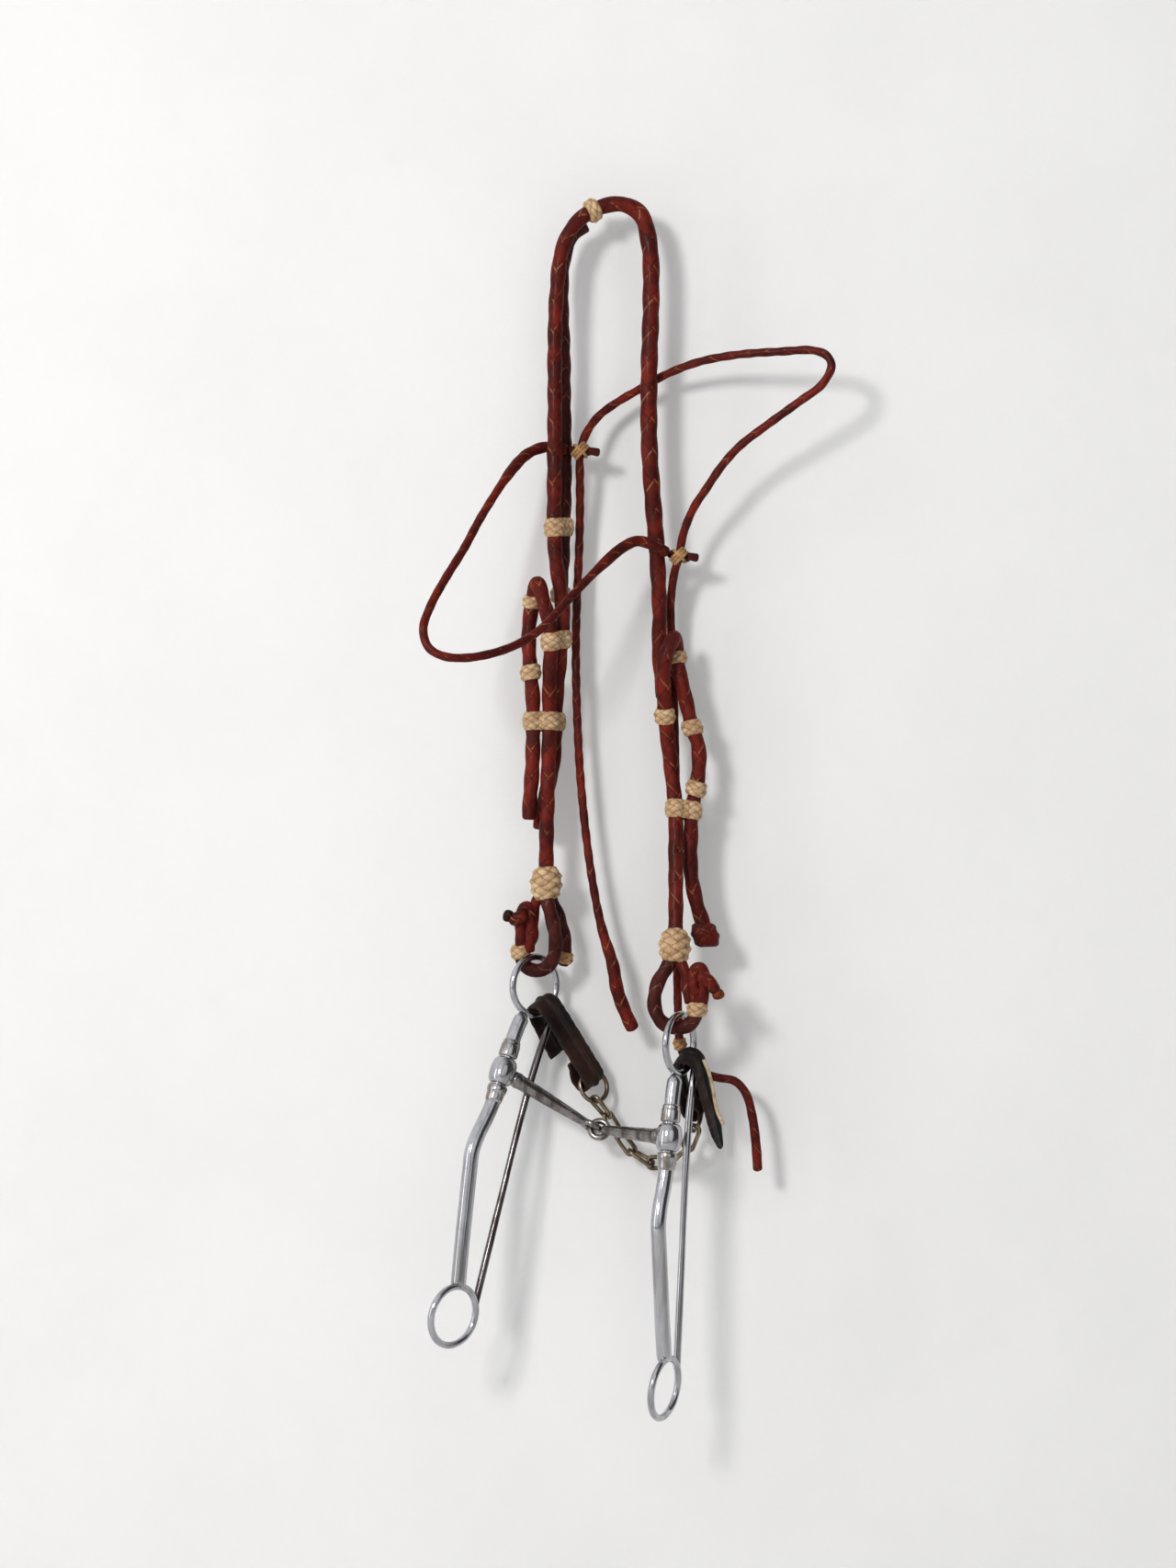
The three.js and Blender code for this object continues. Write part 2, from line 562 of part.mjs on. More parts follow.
// Each link stands across the one before. The first and the last lie across the wire of
// the curb rings, and the turn that this leaves over is shared out along the chain.
const runs = chainNodes.slice(1).map((node, i) => node.clone().sub(chainNodes[i]).normalize());
const flatten = (direction, run) => (
  direction.clone().addScaledVector(run, -direction.dot(run)).normalize()
);
const normals = [flatten(ringRun.left, runs[0])];
for (let i = 1; i < LINKS; i += 1) {
  normals.push(new THREE.Vector3().crossVectors(runs[i], normals[i - 1]).normalize());
}
const lastNormal = flatten(ringRun.right, runs.at(-1));
if (lastNormal.dot(normals.at(-1)) < 0) lastNormal.negate();
const leftOver = Math.atan2(
  new THREE.Vector3().crossVectors(normals.at(-1), lastNormal).dot(runs.at(-1)),
  normals.at(-1).dot(lastNormal),
);
for (let i = 0; i < LINKS; i += 1) {
  const normal = normals[i].clone().applyAxisAngle(runs[i], (leftOver * i) / (LINKS - 1));
  const middle = chainNodes[i].clone().add(chainNodes[i + 1]).multiplyScalar(0.5);
  const basis = new THREE.Matrix4()
    .makeBasis(runs[i], normal, new THREE.Vector3().crossVectors(runs[i], normal))
    .setPosition(middle);
  add(`chain_link_${i + 1}`, link().applyMatrix4(basis), chainSteel());
}

export default model;
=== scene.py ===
"""A braided leather headstall holding a jointed curb bit, hung up by its crown.

It is in metres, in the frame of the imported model: +X is to the right, +Y away from the
front, +Z up, and the origin is under the crown's arch, where a nail carries it.
"""

import json
import math

import bpy
import numpy as np
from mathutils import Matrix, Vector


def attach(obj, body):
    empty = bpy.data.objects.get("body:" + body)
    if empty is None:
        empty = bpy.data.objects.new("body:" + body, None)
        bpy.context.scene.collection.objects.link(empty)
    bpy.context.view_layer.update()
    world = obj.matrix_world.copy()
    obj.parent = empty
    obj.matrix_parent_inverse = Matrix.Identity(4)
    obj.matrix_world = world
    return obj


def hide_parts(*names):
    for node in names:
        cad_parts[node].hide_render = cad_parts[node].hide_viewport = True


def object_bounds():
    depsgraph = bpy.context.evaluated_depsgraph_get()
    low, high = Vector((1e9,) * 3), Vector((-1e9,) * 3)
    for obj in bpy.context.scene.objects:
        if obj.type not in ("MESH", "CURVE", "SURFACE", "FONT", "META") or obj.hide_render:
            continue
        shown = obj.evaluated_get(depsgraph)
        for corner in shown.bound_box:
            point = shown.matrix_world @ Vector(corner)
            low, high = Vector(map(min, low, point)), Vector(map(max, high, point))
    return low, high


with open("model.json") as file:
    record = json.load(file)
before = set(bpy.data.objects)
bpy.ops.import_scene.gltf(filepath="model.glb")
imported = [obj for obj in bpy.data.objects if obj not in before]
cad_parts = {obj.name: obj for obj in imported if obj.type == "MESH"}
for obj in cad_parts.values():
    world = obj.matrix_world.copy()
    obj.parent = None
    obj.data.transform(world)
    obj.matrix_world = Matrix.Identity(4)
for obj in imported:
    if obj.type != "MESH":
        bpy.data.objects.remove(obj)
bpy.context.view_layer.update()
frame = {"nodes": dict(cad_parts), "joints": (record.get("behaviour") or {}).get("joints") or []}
scene = bpy.context.scene

HEADSTALL = "headstall"

# ---------- sizes, in metres ----------

# Radii of the strands: the crown and cheeks; the crown's second strand and the bit loops;
# the legs of those loops; the browband and throatlatch; the curb's lace.
ROPE = 0.0042
LINING = 0.0040
BUTTON_CORD = 0.0032
CORD = 0.0024
LACE_RADIUS = 0.0010

# Radii in the bit: the wire of its rings and guard rods, the shank tubes, and the middle
# lines of the eyes and rings.
WIRE = 0.0019
TUBE = 0.0041
EYE = 0.0048
EYE_WIRE = 0.0017
CHEEK_RING = 0.0158
REIN_RING = 0.0160

# The curb: the straps' thickness, the inner radii of their folds round the headstall ring
# and round the curb ring, the curb rings' radius and wire, and the chain's wire.
STRAP = 0.0022
RING_FOLD = 0.0052
CURB_FOLD = 0.0038
CURB_RING = 0.0086
CURB_WIRE = 0.00125
LINK_WIRE = 0.0012

# ---------- the routes of the strands ----------


def metres(points):
    """Points that are given in millimetres."""
    return [tuple(round(value / 1000, 7) for value in point) for point in points]


CROWN = metres([
    (-36.5, 7, -333.5), (-34, 7.5, -318), (-29.5, 7.5, -300), (-28.2, 6.8, -285),
    (-27.7, 6.2, -274.5), (-27.4, 5.6, -262), (-25.8, 3.2, -245), (-24.5, 0.5, -231),
    (-23.5, -1, -218), (-25, -2.5, -203), (-27.5, -3.5, -186), (-28.3, -4, -169),
    (-28.3, -4.5, -150), (-28.2, -5, -126), (-28, -4, -100), (-28, -3.5, -70), (-27, -3, -42),
    (-24, -1.5, -18), (-17, -0.5, -4), (-6, 0, 4.2), (8, 0, 7), (18.5, 0, 1.5), (23.5, 0, -16),
    (24.3, 0, -45), (23.3, 0, -82), (23.3, 0, -122), (25, 0.5, -150), (26.8, 1, -172),
    (28, 1, -192), (29, 2, -215), (28.7, 4.2, -235), (30, 5, -250), (31.2, 5.5, -262),
])
CROWN_LINING = metres([
    (-10.5, 7.4, -3.4), (-18.2, 7.9, -8.2), (-23.4, 7.4, -23.5), (-24.3, 6.2, -45),
    (-23.3, 6.2, -75), (-23.1, 8.5, -100), (-22.6, 10.6, -126), (-22.8, 7.5, -150),
    (-23.2, 4.8, -169), (-23.8, 5.5, -186), (-25, 9, -203), (-25.3, 10, -210),
])
LEFT_CHEEK = metres([
    (-42, -1, -328), (-41.5, -1, -317), (-40.2, -1, -297), (-39.9, -1, -274.5), (-40, -1, -262),
    (-41.2, -0.5, -248), (-42.3, 0.5, -227), (-40.5, 2, -211), (-37.5, -3, -199.5), (-34, -9, -210),
    (-31, -9, -221), (-30, -7.5, -231), (-30.5, -5, -243), (-31, -3, -258), (-31, -2, -274.5),
    (-31.5, -2, -297), (-32.5, -2, -332), (-32.8, -1, -363),
])
RIGHT_CHEEK = metres([
    (53.5, -3, -389), (51.8, -2.5, -382), (49.5, -2, -375), (46, -1.5, -357), (46, -1, -332),
    (46.5, -1, -322.5), (48.8, -1, -311), (50.3, -1, -300), (50, -1, -288), (46.5, -0.5, -277),
    (42.5, 0, -259.5), (39.5, 0.5, -247), (38.3, 1, -238), (37, -3.5, -229), (33, -9, -236.5),
    (31, -8.5, -247), (31.3, -5, -262), (31.8, -3.5, -272), (34.5, -2, -294), (37.5, -4, -322.5),
    (37.5, -8.5, -347), (37.4, -15, -380), (36.8, -18.5, -397),
])
BROWBAND = metres([
    (-20.9, 2.8, -126.3), (-26, 2.5, -125.8), (-33, 2, -125), (-41, -2, -128), (-49.7, -14, -137),
    (-66.5, -34, -164.5), (-76, -46, -183.5), (-85.5, -56, -200), (-93, -65, -215),
    (-96.5, -71, -227.5), (-93.5, -74, -237), (-86, -76, -241.5), (-75, -75, -242.5),
    (-60.5, -70, -240), (-46.5, -62, -234.5), (-34.5, -53, -226), (-24.5, -45, -215),
    (-12.5, -34, -201.5), (-1.5, -24, -190), (8.5, -16, -181), (16.5, -10, -177), (22.5, -8, -178),
    (28.5, -6.5, -180.8), (33.6, -4.4, -183.2),
])
THROATLATCH = metres([
    (15, 4, -443), (11, 4, -434.5), (6, 4, -421), (3.5, 4, -407), (-2.5, 5, -387), (-7.5, 6, -362),
    (-11, 7, -337), (-14, 8, -307), (-15.5, 8.5, -282), (-16.5, 9, -252), (-16.6, 11, -227),
    (-15.8, 12, -202), (-14.8, 11.8, -177), (-14.4, 9.5, -157), (-14.4, 6.2, -141),
    (-14.2, 3.4, -127), (-11, 4, -117.5), (-4.5, 7, -108), (5, 9, -100.5), (19.5, 9.5, -92),
    (32.5, 7, -85), (50, 0, -79), (70, -8, -76), (94, -15, -75), (111.5, -20, -75),
    (118.5, -22, -78), (121, -23, -83.5), (116, -23, -93.5), (104, -21, -102.5), (86.5, -18, -115),
    (72, -15, -126), (62, -12, -137), (54.5, -9, -148), (47.5, -6, -158.5), (42, -2, -172),
    (39.5, 0.5, -184.5), (36.8, 4, -195), (35.2, 7.5, -209.5), (35.5, 10, -224.5),
    (36.5, 10.5, -239.5), (37, 10.5, -262), (37.5, 10, -282), (38, 9.5, -307), (38.5, 8.5, -330),
    (38.5, 5, -357), (38.5, 0, -387), (38.5, -5, -412), (39, -6, -434.5), (40.5, -3.5, -452),
    (46, 4.5, -461), (52.5, 6.5, -466), (60, 5, -468.5), (70, 4, -470.5), (76, 3, -477),
    (79.5, 2, -489.5), (81.5, 2, -504.5), (82.5, 2, -519.5),
])
BACK_STRAND = metres([
    (-29.5, 4.8, -371.6), (-25, 7.5, -382), (-21.8, 9, -397), (-23.5, 9.5, -408),
])
LACE = metres([
    (52.5, -16, -457.5), (55.5, -12, -465), (57.5, -8, -473), (58.8, -5, -480), (60.5, -3.5, -487),
    (63.5, -3, -493.5),
])
LEFT_LOOP = metres([
    (-32, -3, -372.2), (-29, -3, -384), (-27.5, -2, -396), (-29.5, 0, -404.5), (-33.5, 2.5, -409),
    (-38.5, 4.5, -410.2), (-43.5, 7, -408.5), (-46.4, 8.8, -403), (-46.8, 9, -399.4),
])
LEFT_LEG = metres([
    (-38, 2.5, -372.2), (-39.5, 4, -378), (-40, 5, -386), (-40, 6, -391),
])
RIGHT_LOOP = metres([
    (33, -20, -406.6), (27.5, -20.5, -416), (25.8, -21, -428), (29.2, -21.5, -436),
    (34.5, -22, -439.2), (39.4, -22.4, -439.6), (44.5, -23.2, -437.8), (48, -23.8, -433),
    (48.8, -24, -428.8),
])
RIGHT_LEG = metres([
    (41, -19.5, -406.6), (43, -20.5, -412), (43.2, -21, -418.5),
])

# ---------- mesh helpers ----------


def unit(v):
    v = np.asarray(v, float)
    return v / np.linalg.norm(v, axis=-1, keepdims=True)


def across_axis(axis, hint):
    """Two directions square to an axis and to each other."""
    first = unit(np.cross(axis, hint))
    return first, np.cross(axis, first)


def smooth_route(points, spacing):
    """A centripetal Catmull-Rom curve through the points, as evenly spaced positions."""
    p = np.array(points, float)
    p = np.vstack([2 * p[0] - p[1], p, 2 * p[-1] - p[-2]])
    weight = np.linspace(0, 1, 24, endpoint=False)[:, None]
    dense = []
    for a, b, c, d in zip(p, p[1:], p[2:], p[3:]):
        t0, t1, t2 = (math.dist(x, y) ** 0.5 for x, y in ((a, b), (b, c), (c, d)))
        out = ((b - a) / t0 - (c - a) / (t0 + t1) + (c - b) / t1) * t1
        into = ((c - b) / t1 - (d - b) / (t1 + t2) + (d - c) / t2) * t1
        bow = -3 * b + 3 * c - 2 * out - into
        dense.append(b + out * weight + bow * weight**2 + (2 * b - 2 * c + out + into) * weight**3)
    dense = np.vstack([*dense, p[-2:-1]])
    along = np.concatenate([[0], np.cumsum(np.linalg.norm(np.diff(dense, axis=0), axis=1))])
    at = np.linspace(0, along[-1], max(3, round(along[-1] / spacing)) + 1)
    return np.column_stack([np.interp(at, along, dense[:, k]) for k in range(3)]), at


def sides_along(path, first=(0, -1, 0)):
    """Two directions across a path at each of its points, which don't twist round it."""
    tangent = unit(np.gradient(path, axis=0))
    side = np.zeros_like(path)
    last = np.array(first, float)
    if abs(last @ tangent[0]) > 0.9:
        last = np.array([1.0, 0, 0])
    for i, t in enumerate(tangent):
        last = unit(last - t * (last @ t))
        side[i] = last
    return side, np.cross(tangent, side)


def link_object(name, vertices, faces, lay, material):
    """A smooth mesh object. lay, if not None, has one (x, y, z) for each corner of each face."""
    mesh = bpy.data.meshes.new(name)
    mesh.from_pydata(vertices.tolist(), [], faces)
    mesh.polygons.foreach_set("use_smooth", [True] * len(mesh.polygons))
    if lay is not None:
        layer = mesh.attributes.new("lay", "FLOAT_VECTOR", "CORNER")
        layer.data.foreach_set("vector", np.asarray(lay, np.float32).ravel())
    mesh.materials.append(material)
    obj = bpy.data.objects.new(name, mesh)
    scene.collection.objects.link(obj)
    return obj


def skin(rings, lay=None, closed=False):
    """Vertices, faces and corner values of a tube skinned over rings of points.

    rings is (rows, around, 3). lay, if given, is (rows, around + 1, 3), so that the last
    column closes the round with its own value. An open tube gets a cap at both ends.
    """
    rows, around = rings.shape[:2]
    vertices = rings.reshape(-1, 3)
    last = rows if closed else rows - 1
    i, j = (a.ravel() for a in np.meshgrid(np.arange(last), np.arange(around), indexing="ij"))
    right, down = (j + 1) % around, (i + 1) % rows
    quads = np.column_stack([i * around + j, i * around + right, down * around + right,
                             down * around + j])
    faces = quads.tolist()
    corners = None
    if lay is not None:
        corners = np.stack([lay[i, j], lay[i, j + 1], lay[down, j + 1], lay[down, j]], axis=1)
        corners = corners.reshape(-1, 3)
    if not closed:
        for row, turn in ((0, -1), (rows - 1, 1)):
            faces.append([row * around + k for k in range(around)][::turn])
            if corners is not None:
                cap = [lay[row, k] for k in range(around)][::turn]
                corners = np.vstack([corners, cap])
    return vertices, faces, corners


def join(parts):
    """Several (vertices, faces, corners) as one."""
    vertices, faces, corners, base = [], [], [], 0
    for v, f, c in parts:
        vertices.append(v)
        faces += [[k + base for k in face] for face in f]
        corners.append(c)
        base += len(v)
    has_lay = all(c is not None for c in corners)
    return np.vstack(vertices), faces, np.vstack(corners) if has_lay else None


def round_bar(path, radii, around=20, first=(0, -1, 0), closed=False):
    """A plain round bar along a path, with a radius for each of its points."""
    if closed:
        tangent = unit(np.roll(path, -1, axis=0) - np.roll(path, 1, axis=0))
        across = np.broadcast_to(unit(np.array(first, float)), path.shape)
        side = unit(across - tangent * np.sum(across * tangent, axis=1, keepdims=True))
        other = np.cross(tangent, side)
    else:
        side, other = sides_along(path, first)
    angle = round_angles(around)[None]
    radii = np.broadcast_to(np.asarray(radii, float), len(path))[:, None, None]
    rings = path[:, None] + radii * (np.cos(angle) * side[:, None] + np.sin(angle) * other[:, None])
    return skin(rings, closed=closed)


def torus(centre, normal, radius, wire, around=72):
    """A ring of round wire."""
    normal = unit(normal)
    first, second = across_axis(normal, [0.3, 0.2, 1])
    angle = round_angles(around)
    path = centre + radius * (np.cos(angle) * first + np.sin(angle) * second)
    return round_bar(path, wire, first=normal, closed=True)


def turned(profile, centre, axis, around=40, bevel=0.0):
    """A turned piece: rows of (radius, height) spun about an axis through centre.

    With a bevel, each row is a crisp edge, split into two rows that far apart.
    """
    if bevel:
        rows = np.array(profile, float)
        toward = unit(np.diff(rows, axis=0)) * bevel / 2
        split = [rows[0]]
        for row, before, after in zip(rows[1:-1], toward, toward[1:]):
            split += [row - before, row + after]
        profile = [*split, rows[-1]]
    axis = unit(axis)
    first, second = across_axis(axis, [0.31, 1, 0.17])
    angle = round_angles(around)[None]
    radius, height = (np.array(c)[:, None, None] for c in zip(*profile))
    rings = centre + height * axis + radius * (np.cos(angle) * first + np.sin(angle) * second)
    return skin(rings)


def piece(name, parts, material, body, slot, *nodes):
    """Makes a piece that rides on its body, in place of the CAD nodes that it stands for."""
    obj = link_object(name, *parts, material)
    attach(obj, body)
    if nodes:
        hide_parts(*nodes)
    return obj


def round_angles(count):
    """Evenly spaced angles once round, as a column."""
    return np.linspace(0, 2 * math.pi, count, endpoint=False)[:, None]


# ---------- plaiting ----------


def plait(turn, climb):
    """How high a plait's surface stands, 0 to 1, where two sets of strands cross.

    turn and climb count strands round the piece and along it. One set lies where
    turn - climb is whole, the other where turn + climb is, each over one and under one.
    """
    one, two = turn - climb, turn + climb
    over = (np.round(one) + np.round(two)) % 2 == 0
    across = np.where(over, one - np.round(one), two - np.round(two))
    length = np.where(over, two - np.round(two), one - np.round(one))
    crown = 1 - np.abs(2 * across) ** 2.2
    return 0.62 * np.clip(crown, 0, 1) + 0.38 * np.cos(math.pi * length) ** 2


def braided(points, radius, lay_length, strands=2, step=0.0007, around=36, relief=0.00050,
            swell=None, seed=0.0, rounding=0.3):
    """A round braid along a route: (vertices, faces, corners) and its middle line.

    rounding says how much its ends are eased, from 0, cut square, towards 1, drawn to a point.
    """
    path, at = smooth_route(points, step)
    side, other = sides_along(path)
    angle = np.linspace(0, 2 * math.pi, around + 1)
    turn = np.broadcast_to(strands * angle / (2 * math.pi), (len(path), around + 1))
    climb = np.broadcast_to((at / lay_length)[:, None], turn.shape)
    height = plait(turn, climb)
    size = np.full(len(path), radius)
    if swell is not None:
        size = size * swell(at / at[-1])
    ease = np.minimum(at, at[-1] - at) / (1.2 * rounding * radius)
    size = size * (1 - rounding + rounding * np.sqrt(1 - (1 - np.clip(ease, 0, 1)) ** 2))
    reach = (size[:, None] - relief * (1 - height))[:, :-1, None]
    a = angle[None, :-1, None]
    rings = path[:, None] + reach * (np.cos(a) * side[:, None] + np.sin(a) * other[:, None])
    lay = np.stack([turn, climb, np.full_like(turn, seed)], axis=-1)
    return skin(rings, lay), path


def wrap_outline(circles, count, pinch=0.0028):
    """Evenly spaced points round some circles (x, y, radius), and outward normals.

    The outline is the circles' hull, drawn in a little where it bridges two of them.
    """
    angle = np.linspace(-math.pi, math.pi, 720, endpoint=False)
    ray = np.column_stack([np.cos(angle), np.sin(angle)])
    centres = np.array([[x, y] for x, y, _ in circles])
    radii = np.array([r for _, _, r in circles])
    best = np.argmax(ray @ centres.T + radii, axis=1)
    hull = centres[best] + radii[best, None] * ray
    bearing = np.arctan2(hull[:, 1], hull[:, 0])
    order = np.argsort(bearing)
    hull_reach = np.interp(angle, bearing[order], np.linalg.norm(hull, axis=1)[order],
                           period=2 * math.pi)
    beside = ray @ centres.T
    inside = radii**2 - (np.sum(centres**2, axis=1) - beside**2)
    own_reach = np.where(inside > 0, beside + np.sqrt(np.abs(inside)), 0).max(axis=1)
    reach = hull_reach - np.minimum(hull_reach - own_reach, pinch)
    blur = np.hanning(25) / np.hanning(25).sum()
    reach = np.convolve(np.concatenate([reach[-12:], reach, reach[:12]]), blur, "valid")
    points = reach[:, None] * ray
    loop = np.vstack([points, points[:1]])
    along = np.concatenate([[0], np.cumsum(np.linalg.norm(np.diff(loop, axis=0), axis=1))])
    at = np.linspace(0, along[-1], count, endpoint=False)
    even = np.column_stack([np.interp(at, along, loop[:, k]) for k in range(2)])
    ahead = np.roll(even, -1, axis=0) - np.roll(even, 1, axis=0)
    return even, unit(np.column_stack([ahead[:, 1], -ahead[:, 0]])), along[-1]


WRAP_AROUND = 120  # points round a knot
WRAP_ROWS = 30
WRAP_SUNK = 0.0006  # how deep a knot's edges lie in the strands that it holds
WRAP_LINING = 0.0009  # how deep its inside does


def woven_wrap(strands, height, wall, cell=0.0040, relief=0.0009, tilt=0.0, seed=0.0, belly=0.6):
    """A knot of lace woven round strands, each (point, direction, radius).

    belly says how round its side is, from a band at 0 to a ball at 1.
    """
    middle = np.mean([point for point, _, _ in strands], axis=0)
    axis = unit(np.mean([direction for _, direction, _ in strands], axis=0))
    first, second = across_axis(axis, [0.05, 1, 0.1])
    circles = []
    for point, direction, radius in strands:
        # Where this strand crosses the knot's middle plane.
        meet = point - direction * ((point - middle) @ axis) / (direction @ axis)
        circles.append(((meet - middle) @ first, (meet - middle) @ second, radius))
    outline, facing, girth = wrap_outline(circles, WRAP_AROUND)
    bights = max(5, round(girth / (1.35 * cell)))
    swing = np.linspace(-math.pi / 2, math.pi / 2, WRAP_ROWS)
    out = -WRAP_SUNK + (wall + WRAP_SUNK) * np.cos(swing) ** belly
    rise = height / 2 * np.sin(swing)
    share = np.linspace(0, 1, WRAP_AROUND + 1)
    turn = np.broadcast_to(bights * share, (WRAP_ROWS, WRAP_AROUND + 1))
    climb = np.broadcast_to((rise / cell)[:, None], turn.shape) + 0.25
    lift = plait(turn, climb)[:, :-1] - 1
    fade = np.cos(swing)[:, None] ** 0.3
    reach = out[:, None] + relief * lift * fade
    flat = outline[None] + facing[None] * reach[..., None]
    # The lace's edge isn't quite level all the way round.
    level = rise[:, None] + tilt * np.sin(2 * math.pi * share[None, :-1] + seed)
    outer = middle + flat[..., :1] * first + flat[..., 1:] * second + level[..., None] * axis
    # Its inside is one plain band, sunk in the strands, between two rows.
    inner_flat = outline - facing * WRAP_LINING
    inner = [middle + inner_flat[:, :1] * first + inner_flat[:, 1:] * second + side * height * axis
             for side in (0.42, -0.42)]
    rings = np.concatenate([outer, np.array(inner)])
    lay = np.stack([turn, climb, np.full_like(turn, seed)], axis=-1)
    hidden = lay[[-1, 0]]
    return skin(rings, np.concatenate([lay, hidden]), closed=True)


def at_height(path, z, last=False):
    """Where a path crosses a height, and its direction there, pointing up."""
    steps = range(len(path) - 1)
    for i in reversed(steps) if last else steps:
        a, b = path[i], path[i + 1]
        if (a[2] - z) * (b[2] - z) <= 0 and a[2] != b[2]:
            direction = unit(path[min(i + 3, len(path) - 1)] - path[max(i - 3, 0)])
            return a + (b - a) * (z - a[2]) / (b[2] - a[2]), direction * np.sign(direction[2])
    raise ValueError(f"no point at height {z}")


# ---------- materials ----------


def shade(red, green, blue):
    """A colour given as it looks on a screen, 0 to 255, as the linear one that nodes take."""
    linear = [c / 12.92 if c <= 0.04045 else ((c + 0.055) / 1.055) ** 2.4
              for c in (red / 255, green / 255, blue / 255)]
    return (*linear, 1.0)


class Nodes:
    """Builds the nodes of a material or a world, each call returning the socket to link from."""

    def __init__(self, owner):
        owner.use_nodes = True
        self.owner = owner
        self.tree = owner.node_tree
        self.places = self.add("ShaderNodeTexCoord").outputs

    def add(self, kind, **settings):
        node = self.tree.nodes.new(kind)
        for key, value in settings.items():
            setattr(node, key, value)
        return node

    def put(self, socket, value):
        if isinstance(value, bpy.types.NodeSocket):
            self.tree.links.new(value, socket)
        else:
            socket.default_value = value

    def math(self, operation, a, b=0.0):
        node = self.add("ShaderNodeMath", operation=operation)
        for socket, value in zip(node.inputs, (a, b)):
            self.put(socket, value)
        return node.outputs[0]

    def noise(self, scale, detail=3.0, roughness=0.6, stretch=None, distortion=0.0):
        node = self.add("ShaderNodeTexNoise")
        where = self.places["Object"]
        if stretch is not None:
            mapping = self.add("ShaderNodeMapping")
            mapping.inputs["Scale"].default_value = stretch
            self.put(mapping.inputs["Vector"], where)
            where = mapping.outputs[0]
        self.put(node.inputs["Vector"], where)
        for key, value in (("Scale", scale), ("Detail", detail), ("Roughness", roughness),
                           ("Distortion", distortion)):
            node.inputs[key].default_value = value
        return node.outputs[0]

    def ramp(self, value, low, high, start=0.0, end=1.0):
        node = self.add("ShaderNodeMapRange", interpolation_type="SMOOTHSTEP")
        for socket, number in zip(node.inputs, (value, low, high, start, end)):
            self.put(socket, number)
        return node.outputs[0]

    def mix(self, share, a, b):
        """Two colours mixed. Each is a socket, or red, green and blue as for shade."""
        node = self.add("ShaderNodeMix", data_type="RGBA")
        for number, value in ((0, share), (6, a), (7, b)):
            self.put(node.inputs[number], shade(*value) if isinstance(value, tuple) else value)
        return node.outputs[2]

    def tint(self, color, share, most, other):
        """The colour with another laid over it, by a share of at most that much."""
        return self.mix(self.math("MULTIPLY", share, most), color, other)

    def bump(self, height, distance, strength=1.0, normal=None):
        node = self.add("ShaderNodeBump")
        node.inputs["Strength"].default_value = strength
        node.inputs["Distance"].default_value = distance
        self.put(node.inputs["Height"], height)
        if normal is not None:
            self.put(node.inputs["Normal"], normal)
        return node.outputs[0]

    def plait(self):
        """The strand on top at a point: the signed place across it, and its own tone."""
        lay = self.add("ShaderNodeAttribute", attribute_name="lay").outputs["Vector"]
        parts = self.add("ShaderNodeSeparateXYZ")
        self.put(parts.inputs[0], lay)
        turn, climb, seed = parts.outputs
        sets = []
        for operation in ("SUBTRACT", "ADD"):
            value = self.math(operation, turn, climb)
            whole = self.math("ROUND", value)
            sets.append((whole, self.math("SUBTRACT", value, whole)))
        (whole_a, off_a), (whole_b, off_b) = sets
        odd = self.math("PINGPONG", self.math("ADD", whole_a, whole_b), 1.0)
        across = self.math("ADD", self.math("MULTIPLY", off_a, self.math("SUBTRACT", 1.0, odd)),
                           self.math("MULTIPLY", off_b, odd))
        cell = self.add("ShaderNodeCombineXYZ")
        for socket, value in zip(cell.inputs, (whole_a, whole_b, seed)):
            self.put(socket, value)
        tone = self.add("ShaderNodeTexWhiteNoise", noise_dimensions="3D")
        self.put(tone.inputs["Vector"], cell.outputs[0])
        return self.math("MULTIPLY", across, 2.0), tone.outputs["Value"]

    def show(self, output, share, first, second):
        """Mixes two shaders and sends them to the output."""
        either = self.add("ShaderNodeMixShader")
        for socket, value in zip(either.inputs, (share, first.outputs[0], second.outputs[0])):
            self.put(socket, value)
        self.put(self.tree.nodes[output].inputs["Surface"], either.outputs[0])

    def finish(self, color, roughness, normal=None, **constants):
        inputs = self.tree.nodes["Principled BSDF"].inputs
        self.put(inputs["Base Color"], color)
        self.put(inputs["Roughness"], roughness)
        if normal is not None:
            self.put(inputs["Normal"], normal)
        for key, value in constants.items():
            inputs[key.replace("_", " ")].default_value = value
        return self.owner


